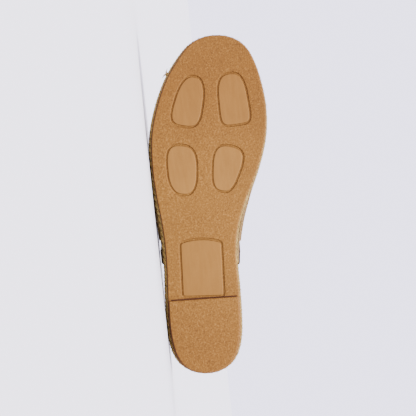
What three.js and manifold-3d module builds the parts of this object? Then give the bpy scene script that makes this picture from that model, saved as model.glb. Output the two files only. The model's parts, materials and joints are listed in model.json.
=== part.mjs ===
// A backless espadrille (a mule) for the right foot, at rest on its lateral side.
//
// Lengths are in millimetres. The shoe is worked out as it stands on its tread: x runs from the back of the
// heel to the toe, y towards the medial side and z up from the ground. The group at the end is then turned
// over onto the lateral side, down to the plane that the empty shoe comes to rest on.
//
// Every layer follows one outline. A station is an angle phi, 0 at the back of the heel and pi at the toe,
// at the share (1 - cos phi) / 2 of the length, so stations crowd together at the round ends.

import * as THREE from "three";
import { mergeVertices } from "three/addons/utils/BufferGeometryUtils.js";
import Module from "manifold-3d";

const wasm = await Module();
wasm.setup();

// Outline of the jute sole
const shoeLength = 252;
const ballWidth = 86.6;
const heelEndRadius = 31;
const toeEndRadius = 35;

// Rubber outsole
const rubberThickness = 3.6;
const rubberInsetToe = 0.6;
const rubberInsetHeel = 1.5;
const rubberInsetEnd = 0.1;
const rubberToMedial = 0.4;
const rubberBevel = 1.1;
const heelLift = 2.2;
const heelLiftInset = 0.8;
const heelBreastFromBack = 55.8;
const heelBreastSlant = 0.07;
const archRise = 1.6;
const forefootFlatStart = 131;
const forefootFlatEnd = 188;
const toeSpring = 8;
const grooveWidth = 1.1;
const grooveDepth = 0.9;
const panelCrown = 2.6;

// Jute midsole and insole
const juteAtHeel = 17;
const juteAtBall = 13.5;
const juteAtToe = 11.5;
const juteThinsFrom = 68;
const juteThinsTo = 160;
const juteEdgeRound = 1.5;
const insoleThickness = 1.6;
const insoleInset = 0.5;

// Upper and binding
const upperWall = 1.8;
const hemDepth = 6;
const instepHeight = 50;
const toeStemShare = 0.36;
const toeRoundLength = 36;
const throatAtSide = 82;
const throatAtTop = 141;
const throatSweep = 1.7;
const waistFlare = 2;
const bindingWidth = 9.5;
const bindingThickness = 0.7;

const clearance = 0.3;

// How finely the curves are faceted
const soleStations = 52;
const upperStations = 34;
const upperArcs = 30;
const padPoints = 32;
const facetTolerance = 0.03;

// Densities in grams per cubic millimetre, which set the side that the empty shoe rests on
const density = { rubber: 0.00112, jute: 0.00045, leather: 0.0007, cloth: 0.00055 };

// Plan of the jute sole. at: share of the length from the heel; half: half-width; axis: shift of the middle
// towards the medial side, both as shares of the ball width.
const plan = [
  { at: 0.08, half: 0.3, axis: 0.012 },
  { at: 0.17, half: 0.327, axis: 0.0 },
  { at: 0.27, half: 0.323, axis: -0.016 },
  { at: 0.36, half: 0.32, axis: -0.034 },
  { at: 0.44, half: 0.346, axis: -0.039 },
  { at: 0.52, half: 0.404, axis: -0.027 },
  { at: 0.6, half: 0.464, axis: 0.001 },
  { at: 0.7, half: 0.5, axis: 0.032 },
  { at: 0.79, half: 0.475, axis: 0.057 },
  { at: 0.87, half: 0.409, axis: 0.075 },
  { at: 0.94, half: 0.309, axis: 0.098 },
];
const axisAtHeelEnd = 0.015;
const axisAtToeEnd = 0.112;

// Smooth pads of the tread, as tapered, leaning superellipses. along and length are shares of the shoe's
// length, across and width of the ball width. lean: shift to the medial side per millimetre towards the
// toe. taper: how much wider the heel end is.
const pads = [
  { along: 0.8, across: -0.127, length: 0.151, width: 0.238, lean: 0.18, taper: 0.13 },
  { along: 0.807, across: 0.252, length: 0.155, width: 0.26, lean: -0.11, taper: 0.12 },
  { along: 0.6, across: -0.178, length: 0.144, width: 0.248, lean: -0.07, taper: -0.13 },
  { along: 0.605, across: 0.197, length: 0.135, width: 0.243, lean: 0.1, taper: -0.19 },
];
const padSquareness = 2.8;
const panel = { along: 0.3145, across: -0.0165, length: 0.165, width: 0.358, lean: -0.05, taper: 0 };
const panelSquareness = 14;

// Upper. at: share of the length; rise: height of the crest over the sole, of the instep height; ridge: shift
// of the crest to the medial side, of the ball width; square: exponent of the section; medial and lateral:
// how far the foot of the wall stands outside the jute, of the waist flare.
const lastSections = [
  { at: 0.3, rise: 1.24, ridge: 0.05, square: 2.1, medial: 0.3, lateral: 0.3 },
  { at: 0.42, rise: 1.16, ridge: 0.05, square: 2.1, medial: 1.0, lateral: 0.6 },
  { at: 0.5, rise: 1.08, ridge: 0.05, square: 2.1, medial: 0.55, lateral: 0.45 },
  { at: 0.57, rise: 0.98, ridge: 0.048, square: 2.15, medial: -0.1, lateral: -0.1 },
  { at: 0.66, rise: 0.81, ridge: 0.04, square: 2.25, medial: -0.2, lateral: -0.2 },
  { at: 0.76, rise: 0.65, ridge: 0.028, square: 2.35, medial: -0.2, lateral: -0.2 },
  { at: 0.87, rise: 0.53, ridge: 0.014, square: 2.4, medial: -0.2, lateral: -0.2 },
  { at: 1.0, rise: 0.45, ridge: 0, square: 2.4, medial: -0.2, lateral: -0.2 },
];

const clamp = (value, low, high) => Math.min(high, Math.max(low, value));

// 0 before start, 1 after end, and an S between them.
function ramp(value, start, end) {
  const t = clamp((value - start) / (end - start), 0, 1);
  return t * t * (3 - 2 * t);
}

// A smooth curve through a table's column, with the slope at a row taken from its two neighbours.
function curveThrough(rows, column) {
  const slopes = rows.map((row, i) => {
    const before = rows[Math.max(i - 1, 0)];
    const after = rows[Math.min(i + 1, rows.length - 1)];
    return (after[column] - before[column]) / (after.at - before.at);
  });
  return (at) => {
    const inside = clamp(at, rows[0].at, rows[rows.length - 1].at);
    let i = 0;
    while (i < rows.length - 2 && inside > rows[i + 1].at) i += 1;
    const span = rows[i + 1].at - rows[i].at;
    const t = (inside - rows[i].at) / span;
    const a = rows[i][column];
    const b = rows[i + 1][column];
    const bend = (1 - t) * slopes[i] * span - t * slopes[i + 1] * span;
    const blend = t * t * (3 - 2 * t);
    return a + (b - a) * blend + t * (1 - t) * bend;
  };
}

// Half-widths are divided by an ellipse's, so the ends close as round curves of the named radii.
const ellipseHalf = (at) => 2 * Math.sqrt(at * (1 - at));
const endFullness = (radius) => Math.sqrt((radius * shoeLength) / 2);
const fullnessRows = [
  { at: 0, fullness: endFullness(heelEndRadius), axis: axisAtHeelEnd },
  ...plan.map(({ at, half, axis }) => ({
    at,
    fullness: (half * ballWidth) / ellipseHalf(at),
    axis,
  })),
  { at: 1, fullness: endFullness(toeEndRadius), axis: axisAtToeEnd },
];
const fullness = curveThrough(fullnessRows, "fullness");
const axisShare = curveThrough(fullnessRows, "axis");
const axisAt = (x) => axisShare(x / shoeLength) * ballWidth;

const shareAt = (phi) => (1 - Math.cos(phi)) / 2;

// A point of the jute outline. side is 1 on the medial side and -1 on the lateral side.
function outlinePoint(phi, side) {
  const at = shareAt(phi);
  const half = fullness(at) * Math.sin(phi);
  return new THREE.Vector2(at * shoeLength, axisAt(at * shoeLength) + side * half);
}

// The outline moved out by a distance, along its own normal.
function outlineOffset(phi, side, distance) {
  const step = 1e-4;
  const tangent = outlinePoint(phi + step, side).sub(outlinePoint(phi - step, side)).normalize();
  const normal = new THREE.Vector2(-tangent.y, tangent.x).multiplyScalar(side);
  return outlinePoint(phi, side).addScaledVector(normal, distance);
}

// Heights of the layers along the shoe
function sheetBottom(x) {
  const waist = (x - heelBreastFromBack) / (forefootFlatStart - heelBreastFromBack);
  const inWaist = clamp(waist, 0, 1);
  const arch = archRise * Math.sin(Math.PI * inWaist) ** 2;
  const toe = clamp((x - forefootFlatEnd) / (shoeLength - forefootFlatEnd), 0, 1.05);
  return heelLift * (1 - ramp(waist, 0, 1)) + arch + toeSpring * toe ** 1.8;
}
const sheetTop = (x) => sheetBottom(x) + rubberThickness;
const juteBottom = (x) => sheetTop(x) + clearance;
function juteThickness(x) {
  const ball = juteAtHeel + (juteAtBall - juteAtHeel) * ramp(x, juteThinsFrom, juteThinsTo);
  return ball + (juteAtToe - juteAtBall) * ramp(x, forefootFlatEnd, shoeLength);
}
const juteTop = (x) => juteBottom(x) + juteThickness(x);
const insoleBottom = (x) => juteTop(x) + clearance;
const insoleTop = (x) => insoleBottom(x) + insoleThickness;

// Outlines of the other layers, as distances outside the jute outline
function rubberOut(phi, side) {
  const toToe = (rubberInsetToe - rubberInsetHeel) * ramp(shareAt(phi), 0.5, 0.95);
  const beside = rubberInsetHeel + toToe - side * rubberToMedial;
  return -rubberInsetEnd - (beside - rubberInsetEnd) * ramp(Math.sin(phi), 0.15, 0.6);
}
const flareTables = {
  1: curveThrough(lastSections, "medial"),
  [-1]: curveThrough(lastSections, "lateral"),
};
const upperOut = (phi, side) => flareTables[side](shareAt(phi)) * waistFlare;

// The jute's top edge backs the hem from inside. Behind the throat it comes out to its own outline.
function seatOut(phi, side) {
  const x = shareAt(phi) * shoeLength;
  const behind = 1 - ramp(x, throatAtSide - 12, throatAtSide - 4);
  const backing = upperOut(phi, side) - upperWall - clearance;
  return backing + (-clearance - backing) * behind;
}

// One closed ring of a layer: from the heel along the medial side to the toe, and back along the lateral side.
function ring(out, height) {
  const points = [];
  const add = (index, side) => {
    const phi = (Math.PI * index) / soleStations;
    const flat = outlineOffset(phi, side, out(phi, side));
    points.push(new THREE.Vector3(flat.x, flat.y, height(flat.x)));
  };
  for (let i = 0; i <= soleStations; i += 1) add(i, 1);
  for (let i = soleStations - 1; i >= 1; i -= 1) add(i, -1);
  return points;
}

function geometryOf(points, triangles) {
  const flat = points.flatMap((p) => [p.x, p.y, p.z]);
  return new THREE.BufferGeometry()
    .setAttribute("position", new THREE.Float32BufferAttribute(flat, 3))
    .setIndex(triangles);
}

// A closed layer of the sole from rings stacked upwards, flat across at its bottom and top.
function layer(rings) {
  const around = 2 * soleStations;
  const triangles = [];
  for (let k = 0; k + 1 < rings.length; k += 1) {
    for (let m = 0; m < around; m += 1) {
      const low = k * around;
      const high = low + around;
      const next = (m + 1) % around;
      triangles.push(low + m, high + m, high + next, low + m, high + next, low + next);
    }
  }
  const cap = (start, up) => {
    for (let i = 0; i < soleStations; i += 1) {
      const medial = start + i;
      const medialNext = medial + 1;
      const lateral = start + ((around - i) % around);
      const lateralNext = start + around - i - 1;
      const faces = [
        [lateral, lateralNext, medialNext],
        [lateral, medialNext, medial],
      ].filter((face) => new Set(face).size === 3);
      for (const face of faces) triangles.push(...(up ? face : face.reverse()));
    }
  };
  cap(0, false);
  cap((rings.length - 1) * around, true);
  return geometryOf(rings.flat(), triangles);
}

// Between three.js meshes and solids that can be cut and joined
function solidOf(geometry) {
  const bare = geometry.clone();
  bare.deleteAttribute("normal");
  bare.deleteAttribute("uv");
  const merged = mergeVertices(bare, 1e-4);
  return new wasm.Manifold(
    new wasm.Mesh({
      numProp: 3,
      vertProperties: merged.attributes.position.array,
      triVerts: new Uint32Array(merged.index.array),
    }),
  );
}

function geometryOfSolid(solid) {
  const mesh = solid.getMesh();
  return new THREE.BufferGeometry()
    .setAttribute("position", new THREE.BufferAttribute(mesh.vertProperties, 3))
    .setIndex(new THREE.BufferAttribute(mesh.triVerts, 1));
}

// The outline of a pad: a superellipse with its heel end wider by its taper, sheared by its lean. crown
// arches the toe end forward at the middle.
function padOutline({ along, across, length, width, lean, taper }, square, crown) {
  const halfLength = (length * shoeLength) / 2;
  const halfWidth = (width * ballWidth) / 2;
  const middle = new THREE.Vector2(along * shoeLength, across * ballWidth);
  return Array.from({ length: padPoints }, (_, i) => {
    const angle = (2 * Math.PI * (i + 0.5)) / padPoints;
    const reach = (Math.abs(Math.cos(angle)) ** square + Math.abs(Math.sin(angle)) ** square) ** (-1 / square);
    const forward = reach * Math.cos(angle);
    const sideways = reach * Math.sin(angle);
    const arch = crown * ramp(forward, 0, 1) * (1 - sideways ** 2);
    const x = forward * (halfLength - crown / 2) + arch - crown / 2;
    return new THREE.Vector2(
      middle.x + x,
      middle.y + sideways * halfWidth * (1 - taper * forward) + lean * x,
    );
  });
}

// A cutter that runs round a closed outline and bites the groove depth into the tread from below.
function grooveCutter(outline) {
  const below = 1;
  const corners = [
    { out: -grooveWidth / 2, up: -below },
    { out: grooveWidth / 2, up: -below },
    { out: grooveWidth / 4, up: grooveDepth },
    { out: -grooveWidth / 4, up: grooveDepth },
  ];
  const count = outline.length;
  const points = outline.flatMap((point, i) => {
    const before = outline[(i + count - 1) % count];
    const after = outline[(i + 1) % count];
    const tangent = after.clone().sub(before).normalize();
    const outward = new THREE.Vector2(tangent.y, -tangent.x);
    return corners.map(({ out, up }) => {
      const flat = point.clone().addScaledVector(outward, out);
      return new THREE.Vector3(flat.x, flat.y, sheetBottom(flat.x) + up);
    });
  });
  const triangles = [];
  for (let i = 0; i < count; i += 1) {
    for (let c = 0; c < corners.length; c += 1) {
      const here = i * corners.length;
      const there = ((i + 1) % count) * corners.length;
      const d = (c + 1) % corners.length;
      triangles.push(here + c, there + d, here + d, here + c, there + c, there + d);
    }
  }
  return solidOf(geometryOf(points, triangles));
}

// The rubber sheet, with the heel joined on below and a groove cut round each pad and the panel.
function outsoleGeometry() {
  const half = (phi, side) => rubberOut(phi, side) - rubberBevel / 2;
  const sheet = layer([
    ring((phi, side) => rubberOut(phi, side) - rubberBevel, sheetBottom),
    ring(half, (x) => sheetBottom(x) + rubberBevel / 4),
    ring(rubberOut, (x) => sheetBottom(x) + rubberBevel),
    ring(rubberOut, sheetTop),
  ]);
  const liftOut = (phi, side) => rubberOut(phi, side) - heelLiftInset;
  const lift = layer([
    ring((phi, side) => liftOut(phi, side) - rubberBevel, () => 0),
    ring((phi, side) => liftOut(phi, side) - rubberBevel / 2, () => rubberBevel / 4),
    ring(liftOut, () => rubberBevel),
    ring(liftOut, () => heelLift + rubberThickness / 2),
  ]);
  const behind = 4 * heelBreastFromBack;
  const breast = new THREE.BoxGeometry(behind, 2 * ballWidth, 4 * (heelLift + rubberThickness))
    .translate(-behind / 2, 0, 0)
    .rotateZ(-Math.atan(heelBreastSlant))
    .translate(heelBreastFromBack, 0, 0);
  const heel = solidOf(lift).intersect(solidOf(breast));
  const outlines = [
    ...pads.map((pad) => padOutline(pad, padSquareness, 0)),
    padOutline(panel, panelSquareness, panelCrown),
  ];
  const body = outlines.reduce(
    (rubber, outline) => rubber.subtract(grooveCutter(outline)),
    solidOf(sheet).add(heel),
  );
  return geometryOfSolid(body.simplify(facetTolerance));
}

// Wound jute: a bulging side with a step cut back for the hem of the upper.
function midsoleGeometry() {
  const bulge = (share) => () => -juteEdgeRound * (1 - share);
  const aboveBottom = (height) => (x) => juteBottom(x) + height;
  const belowTop = (depth) => (x) => juteTop(x) - depth;
  const shelf = hemDepth + clearance;
  return layer([
    ring(bulge(0), juteBottom),
    ring(bulge(0.65), aboveBottom(juteEdgeRound * 0.45)),
    ring(bulge(1), aboveBottom(juteEdgeRound * 1.6)),
    ring(bulge(1), belowTop(shelf + clearance)),
    ring((phi, side) => Math.min(seatOut(phi, side), 0), belowTop(shelf)),
    ring(seatOut, belowTop(juteEdgeRound * 0.6)),
    ring((phi, side) => seatOut(phi, side) - juteEdgeRound * 0.25, belowTop(juteEdgeRound * 0.2)),
    ring((phi, side) => seatOut(phi, side) - juteEdgeRound * 0.6, juteTop),
  ]);
}

// The sock on the jute, inside the upper's wall.
function insoleGeometry() {
  const out = (phi, side) => seatOut(phi, side) - insoleInset;
  return layer([
    ring(out, insoleBottom),
    ring(out, (x) => insoleBottom(x) + insoleThickness * 0.6),
    ring((phi, side) => out(phi, side) - insoleThickness * 0.4, insoleTop),
  ]);
}

// The last's outer surface. alpha runs over the foot from the medial wall, 0, to the lateral wall, pi, and
// drop goes down the hem from the foot of the wall.
const rise = curveThrough(lastSections, "rise");
const ridge = curveThrough(lastSections, "ridge");
const squareness = curveThrough(lastSections, "square");

function crestHeight(at) {
  const intoToe = clamp(1 - ((1 - at) * shoeLength) / toeRoundLength, 0, 1);
  const rounding = toeStemShare + (1 - toeStemShare) * Math.sqrt(1 - intoToe ** 2);
  return rise(at) * instepHeight * rounding;
}

function lastPoint(phi, alpha, drop) {
  const at = shareAt(phi);
  const x = at * shoeLength;
  const side = alpha < Math.PI / 2 ? 1 : -1;
  const foot = outlineOffset(phi, side, upperOut(phi, side));
  const square = squareness(at);
  const cosine = Math.cos(alpha);
  const reach = (Math.abs(cosine) ** square + Math.abs(Math.sin(alpha)) ** square) ** (-1 / square);
  const outward = Math.abs(cosine) * reach;
  const upward = Math.sin(alpha) * reach;
  const bend = ridge(at) * ballWidth * upward ** 2;
  const alongX = x + (foot.x - x) * outward;
  return new THREE.Vector3(
    alongX,
    axisAt(x) + bend + (foot.y - axisAt(x)) * outward,
    juteTop(alongX) + crestHeight(at) * upward - drop,
  );
}

// The throat edge: it leaves the sole upright and sweeps forward over the instep.
const phiAt = (x) => Math.acos(1 - (2 * x) / shoeLength);
function throatPhi(alpha) {
  const sweep = Math.abs(Math.sin(alpha)) ** throatSweep;
  return phiAt(throatAtSide + (throatAtTop - throatAtSide) * sweep);
}

// Lines of the upper from throat to toe: two down the medial hem, over the foot, and two down the lateral hem.
const hemLines = [
  { alpha: 0, drop: hemDepth },
  { alpha: 0, drop: hemDepth / 2 },
];
const archLines = Array.from({ length: upperArcs + 1 }, (_, j) => ({
  alpha: (Math.PI * j) / upperArcs,
  drop: 0,
}));
const upperLines = [
  ...hemLines,
  ...archLines,
  ...hemLines.map(({ drop }) => ({ alpha: Math.PI, drop })).reverse(),
];

// The vamp as one hollow wall: the outer sheet, the same sheet moved in by the wall, and the edges between.
function upperGeometry() {
  const lines = upperLines.length;
  const outer = [];
  for (let i = 0; i <= upperStations; i += 1) {
    for (const { alpha, drop } of upperLines) {
      const start = throatPhi(alpha);
      const phi = start + ((Math.PI - start) * i) / upperStations;
      outer.push(lastPoint(phi, alpha, drop));
    }
  }
  const at = (i, j) => i * lines + j;
  const sheet = [];
  for (let i = 0; i < upperStations; i += 1) {
    for (let j = 0; j + 1 < lines; j += 1) {
      sheet.push(at(i, j), at(i + 1, j + 1), at(i + 1, j), at(i, j), at(i, j + 1), at(i + 1, j + 1));
    }
  }
  const normals = outwardNormals(outer, sheet);
  // The two sides of the sheet meet along the stem of the toe, so they share their normals there.
  for (let j = 0; j < lines; j += 1) {
    const near = normals[at(upperStations, j)];
    const far = normals[at(upperStations, lines - 1 - j)];
    const shared = near.clone().add(far).normalize();
    near.copy(shared);
    far.copy(shared);
  }
  const inner = outer.map((point, i) => point.clone().addScaledVector(normals[i], -upperWall));
  const count = outer.length;
  const triangles = [...sheet];
  for (let t = 0; t < sheet.length; t += 3) {
    triangles.push(sheet[t] + count, sheet[t + 2] + count, sheet[t + 1] + count);
  }
  const edge = (a, b) => triangles.push(a, b + count, a + count, a, b, b + count);
  for (let j = 0; j + 1 < lines; j += 1) edge(at(0, j + 1), at(0, j));
  for (let i = 0; i < upperStations; i += 1) {
    edge(at(i, 0), at(i + 1, 0));
    edge(at(i + 1, lines - 1), at(i, lines - 1));
  }
  return geometryOf([...outer, ...inner], triangles);
}

function outwardNormals(points, triangles) {
  const geometry = geometryOf(points, triangles);
  geometry.computeVertexNormals();
  return points.map((_, i) => new THREE.Vector3().fromBufferAttribute(geometry.attributes.normal, i));
}

// The ribbon round the throat edge: a leaf on the outside of the wall and a turned edge behind it.
function bindingGeometry() {
  const step = 1e-4;
  const near = clearance;
  const far = clearance + bindingThickness;
  const rings = upperLines.map(({ alpha, drop }) => {
    const start = throatPhi(alpha);
    const surface = (phi) => {
      const point = lastPoint(phi, alpha, drop);
      const forward = lastPoint(phi + step, alpha, drop).sub(point).normalize();
      const aside = alongEdge(phi, alpha, drop);
      return { point, forward, normal: aside.cross(forward).normalize() };
    };
    const speed = lastPoint(start + step, alpha, drop).distanceTo(lastPoint(start, alpha, drop)) / step;
    const edge = surface(start);
    const leaf = [1, 0.5, 0].map((share) => surface(start + (share * bindingWidth) / speed));
    const off = ({ point, normal }, out) => point.clone().addScaledVector(normal, out);
    const behind = (back, out) => off(edge, out).addScaledVector(edge.forward, -back);
    return [
      ...leaf.map((place) => off(place, far)),
      behind(far, far),
      behind(far, -upperWall),
      behind(near, -upperWall),
      behind(near, near),
      off(leaf[1], near),
      off(leaf[0], near),
    ];
  });
  return tube(rings);
}

// A direction across the lines of the upper, from the medial to the lateral side.
function alongEdge(phi, alpha, drop) {
  const step = 1e-3;
  if (drop > 0) return new THREE.Vector3(0, 0, alpha < Math.PI / 2 ? 1 : -1);
  const low = Math.max(alpha - step, 0);
  const high = Math.min(alpha + step, Math.PI);
  return lastPoint(phi, high, 0).sub(lastPoint(phi, low, 0)).normalize();
}

// A closed tube from rings of equal length, with a fan of triangles over each end.
function tube(rings) {
  const around = rings[0].length;
  const triangles = [];
  for (let k = 0; k + 1 < rings.length; k += 1) {
    for (let m = 0; m < around; m += 1) {
      const here = k * around;
      const there = here + around;
      const next = (m + 1) % around;
      triangles.push(here + m, here + next, there + next, here + m, there + next, there + m);
    }
  }
  const last = (rings.length - 1) * around;
  const faces = THREE.ShapeUtils.triangulateShape(sectionOf(rings[0]), []);
  for (const [a, b, c] of faces) {
    triangles.push(a, c, b, last + a, last + b, last + c);
  }
  return geometryOf(rings.flat(), triangles);
}

// A ring laid flat on its own plane, for triangulating an end.
function sectionOf(points) {
  const origin = points[0];
  const along = points[2].clone().sub(origin).normalize();
  const across = points[points.length - 1].clone().sub(origin);
  across.addScaledVector(along, -across.dot(along)).normalize();
  return points.map((point) => {
    const from = point.clone().sub(origin);
    return new THREE.Vector2(from.dot(along), from.dot(across));
  });
}

function piece(name, geometry, colour, roughness, weight) {
  const material = new THREE.MeshStandardMaterial({ color: colour, roughness, metalness: 0 });
  const mesh = new THREE.Mesh(geometry, material);
  mesh.name = name;
  mesh.userData.density = weight;
  return mesh;
}

function cornersOf(mesh) {
  const position = mesh.geometry.attributes.position;
  return Array.from({ length: position.count }, (_, i) =>
    new THREE.Vector3().fromBufferAttribute(position, i),
  );
}

// The centre of mass of closed meshes, from the tetrahedra that their faces make with the origin.
function massCentre(meshes) {
  const sum = new THREE.Vector3();
  let mass = 0;
  for (const mesh of meshes) {
    const corners = cornersOf(mesh);
    const index = mesh.geometry.index.array;
    for (let t = 0; t < index.length; t += 3) {
      const [a, b, c] = [corners[index[t]], corners[index[t + 1]], corners[index[t + 2]]];
      const part = (a.dot(b.clone().cross(c)) / 6) * mesh.userData.density;
      sum.addScaledVector(a.clone().add(b).add(c), part / 4);
      mass += part;
    }
  }
  return sum.divideScalar(mass);
}

// Lets a rigid body, set down with its own direction up upwards, tip over its lowest points until its centre
// of mass is over the triangle that it touches the floor with. Returns the direction that is then upwards.
function settledUp(points, centre, up) {
  const touching = [points.reduce((a, b) => (a.dot(up) < b.dot(up) ? a : b))];
  for (let turn = 0; turn < 40; turn += 1) {
    if (touching.length === 3) {
      const away = edgeTippedOver(touching, centre, up);
      if (away < 0) break;
      touching.splice(away, 1);
    }
    const [first, second] = touching;
    const fall = centre.clone().sub(first);
    fall.addScaledVector(up, -fall.dot(up));
    if (second) {
      const hinge = second.clone().sub(first).normalize();
      fall.addScaledVector(hinge, -fall.dot(hinge));
    }
    fall.normalize();
    let least = Infinity;
    let next = null;
    for (const point of points) {
      if (touching.includes(point)) continue;
      const from = point.clone().sub(first);
      const height = Math.max(from.dot(up), 0);
      const angle = Math.atan2(height, from.dot(fall));
      if (from.dot(fall) > 1e-6 && angle < least) {
        least = angle;
        next = point;
      }
    }
    up = up.clone().multiplyScalar(Math.cos(least)).addScaledVector(fall, -Math.sin(least)).normalize();
    touching.push(next);
  }
  return up;
}

// The corner of the triangle to let go of when the centre is outside it, or -1 when it is inside.
function edgeTippedOver(triangle, centre, up) {
  return triangle.findIndex((corner, i) => {
    const a = triangle[(i + 1) % 3];
    const b = triangle[(i + 2) % 3];
    const inward = up.clone().cross(b.clone().sub(a));
    const sameSide = inward.dot(corner.clone().sub(a)) * inward.dot(centre.clone().sub(a));
    return sameSide < 0;
  });
}

// Turns the group so that the settled direction is +Z and the tread faces -Y, and centres it over the origin.
function layDown(group) {
  const points = group.children.flatMap(cornersOf);
  const up = settledUp(points, massCentre(group.children), new THREE.Vector3(0, 1, 0));
  const standing = new THREE.Vector3(0, 0, 1);
  const back = standing.clone().addScaledVector(up, -standing.dot(up)).normalize();
  const aside = back.clone().cross(up);
  const turn = new THREE.Matrix4().set(
    aside.x, aside.y, aside.z, 0,
    back.x, back.y, back.z, 0,
    up.x, up.y, up.z, 0,
    0, 0, 0, 1,
  );
  const box = new THREE.Box3().setFromPoints(points.map((point) => point.clone().applyMatrix4(turn)));
  const middle = box.getCenter(new THREE.Vector3());
  group.quaternion.setFromRotationMatrix(turn);
  group.position.set(-middle.x, -middle.y, -box.min.z);
}

const shoe = new THREE.Group();
shoe.add(
  piece("outsole", outsoleGeometry(), 0xb98a58, 0.7, density.rubber),
  piece("midsole", midsoleGeometry(), 0xd5b890, 0.95, density.jute),
  piece("insole", insoleGeometry(), 0xcfae86, 0.8, density.leather),
  piece("upper", upperGeometry(), 0xd3c2a8, 0.95, density.cloth),
  piece("topline_binding", bindingGeometry(), 0x6b5a44, 0.9, density.cloth),
);
layDown(shoe);

export default shoe;
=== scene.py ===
"""A backless espadrille for the right foot, laid on its lateral side and seen square on from below.

The shoe is worked out in its own millimetres, as it stands on its tread: x from the back of the heel to the
toe, y towards the medial side, z up. The flat tread mounts of the record then say where that frame lies.
"""

import json
import logging
import math
from dataclasses import dataclass, field
from enum import Enum
from typing import Callable, Optional, Union

import bmesh
import bpy
import numpy as np
from mathutils import Matrix, Vector, geometry

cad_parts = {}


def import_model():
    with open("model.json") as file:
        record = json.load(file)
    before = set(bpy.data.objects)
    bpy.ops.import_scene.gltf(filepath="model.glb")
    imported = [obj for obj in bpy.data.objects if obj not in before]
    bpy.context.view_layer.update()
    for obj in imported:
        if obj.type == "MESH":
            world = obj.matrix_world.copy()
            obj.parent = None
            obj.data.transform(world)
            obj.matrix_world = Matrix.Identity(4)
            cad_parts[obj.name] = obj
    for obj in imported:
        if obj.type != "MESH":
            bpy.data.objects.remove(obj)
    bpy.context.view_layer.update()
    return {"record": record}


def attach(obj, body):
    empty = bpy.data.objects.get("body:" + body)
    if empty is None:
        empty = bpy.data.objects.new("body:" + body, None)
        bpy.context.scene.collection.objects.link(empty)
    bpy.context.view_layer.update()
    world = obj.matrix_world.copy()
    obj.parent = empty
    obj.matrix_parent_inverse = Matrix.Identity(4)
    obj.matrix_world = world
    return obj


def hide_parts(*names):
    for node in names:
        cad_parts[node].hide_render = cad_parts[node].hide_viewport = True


Array = np.ndarray
Colour = tuple[float, float, float, float]
Out = Union[float, Array, Callable[[Array, Array], Array]]
Height = Callable[[Array], Array]

MM = 0.001
PHOTO_SIDE = 416
HEM_LINES = 8
LID_SPACING = 9.0
TREAD_SPACING = 3.2
TANGENT_STEP = 1e-4
WELD_M = 2e-6
FILL_TOLERANCE = 1e-5
KEPT_OFF = 0.4
log = logging.getLogger("espadrille")


class Row(Enum):
    """The two plaits of jute that lie on each other."""

    LOWER = 0
    UPPER = 1


def ramp(value: Array, start: float, end: float) -> Array:
    """An S from 0 before start to 1 after end: t * t * (3 - 2 t).

    Args:
        value: Where to read the S.
        start: Where it leaves 0.
        end: Where it reaches 1.

    Returns:
        The height of the S, of value's shape.
    """
    t = np.clip((np.asarray(value, float) - start) / (end - start), 0.0, 1.0)
    return t * t * (3.0 - 2.0 * t)


def curve_through(at: Array, values: Array) -> Callable[[Array], Array]:
    """A smooth curve through a table, whose slope at a row comes from the rows beside it.

    Args:
        at: The rows' places, rising.
        values: The rows' values.

    Returns:
        A function that reads the curve at any array of places.
    """
    at = np.asarray(at, float)
    values = np.asarray(values, float)
    before = np.maximum(np.arange(len(at)) - 1, 0)
    after = np.minimum(np.arange(len(at)) + 1, len(at) - 1)
    slopes = (values[after] - values[before]) / (at[after] - at[before])

    def read(place: Array) -> Array:
        """A blend of the two rows, plus t (1 - t) times the bend that their slopes ask for."""
        inside = np.clip(np.asarray(place, float), at[0], at[-1])
        i = np.clip(np.searchsorted(at, inside, side="left") - 1, 0, len(at) - 2)
        span = at[i + 1] - at[i]
        t = (inside - at[i]) / span
        bend = (1.0 - t) * slopes[i] * span - t * slopes[i + 1] * span
        rise = values[i + 1] - values[i]
        return values[i] + rise * t * t * (3.0 - 2.0 * t) + t * (1.0 - t) * bend

    return read


def unit(vectors: Array) -> Array:
    """Each vector divided by its length."""
    return vectors / np.maximum(np.linalg.norm(vectors, axis=-1, keepdims=True), 1e-12)


def share_at(phi: Array) -> Array:
    """The share of the shoe's length at a station angle."""
    return (1 - np.cos(phi)) / 2


def superellipse(angle: Array, power: Array) -> Array:
    """The radius at an angle of the curve |x|^power + |y|^power = 1."""
    return (np.abs(np.cos(angle)) ** power + np.abs(np.sin(angle)) ** power) ** (-1 / power)


def there_and_back(step: Array, half: float) -> tuple[Array, Array]:
    """How far a walk round the sole has come along a side, and which side that is.

    Args:
        step: How far it has come in all, 0 at the heel.
        half: How far the toe is.

    Returns:
        The distance from the heel along the side, and 1 on the medial side or -1 on the lateral.
    """
    medial = step <= half
    return np.where(medial, step, 2 * half - step), np.where(medial, 1.0, -1.0)


def run_along(line: Array) -> Array:
    """The distance of each point of a line from its first, along the line."""
    return np.concatenate([[0], np.cumsum(np.linalg.norm(np.diff(line, axis=0), axis=1))])


def read_at(at: Array, run: Array, line: Array) -> Array:
    """The points of a line at distances along it, given the distance of each of its own points."""
    return np.column_stack([np.interp(at, run, column) for column in line.T])


def swell(count: int, power: float = 1.0) -> Array:
    """A rise and fall over count points, as sin^power from 0 to pi."""
    return np.sin(np.linspace(0, np.pi, count)) ** power


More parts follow.
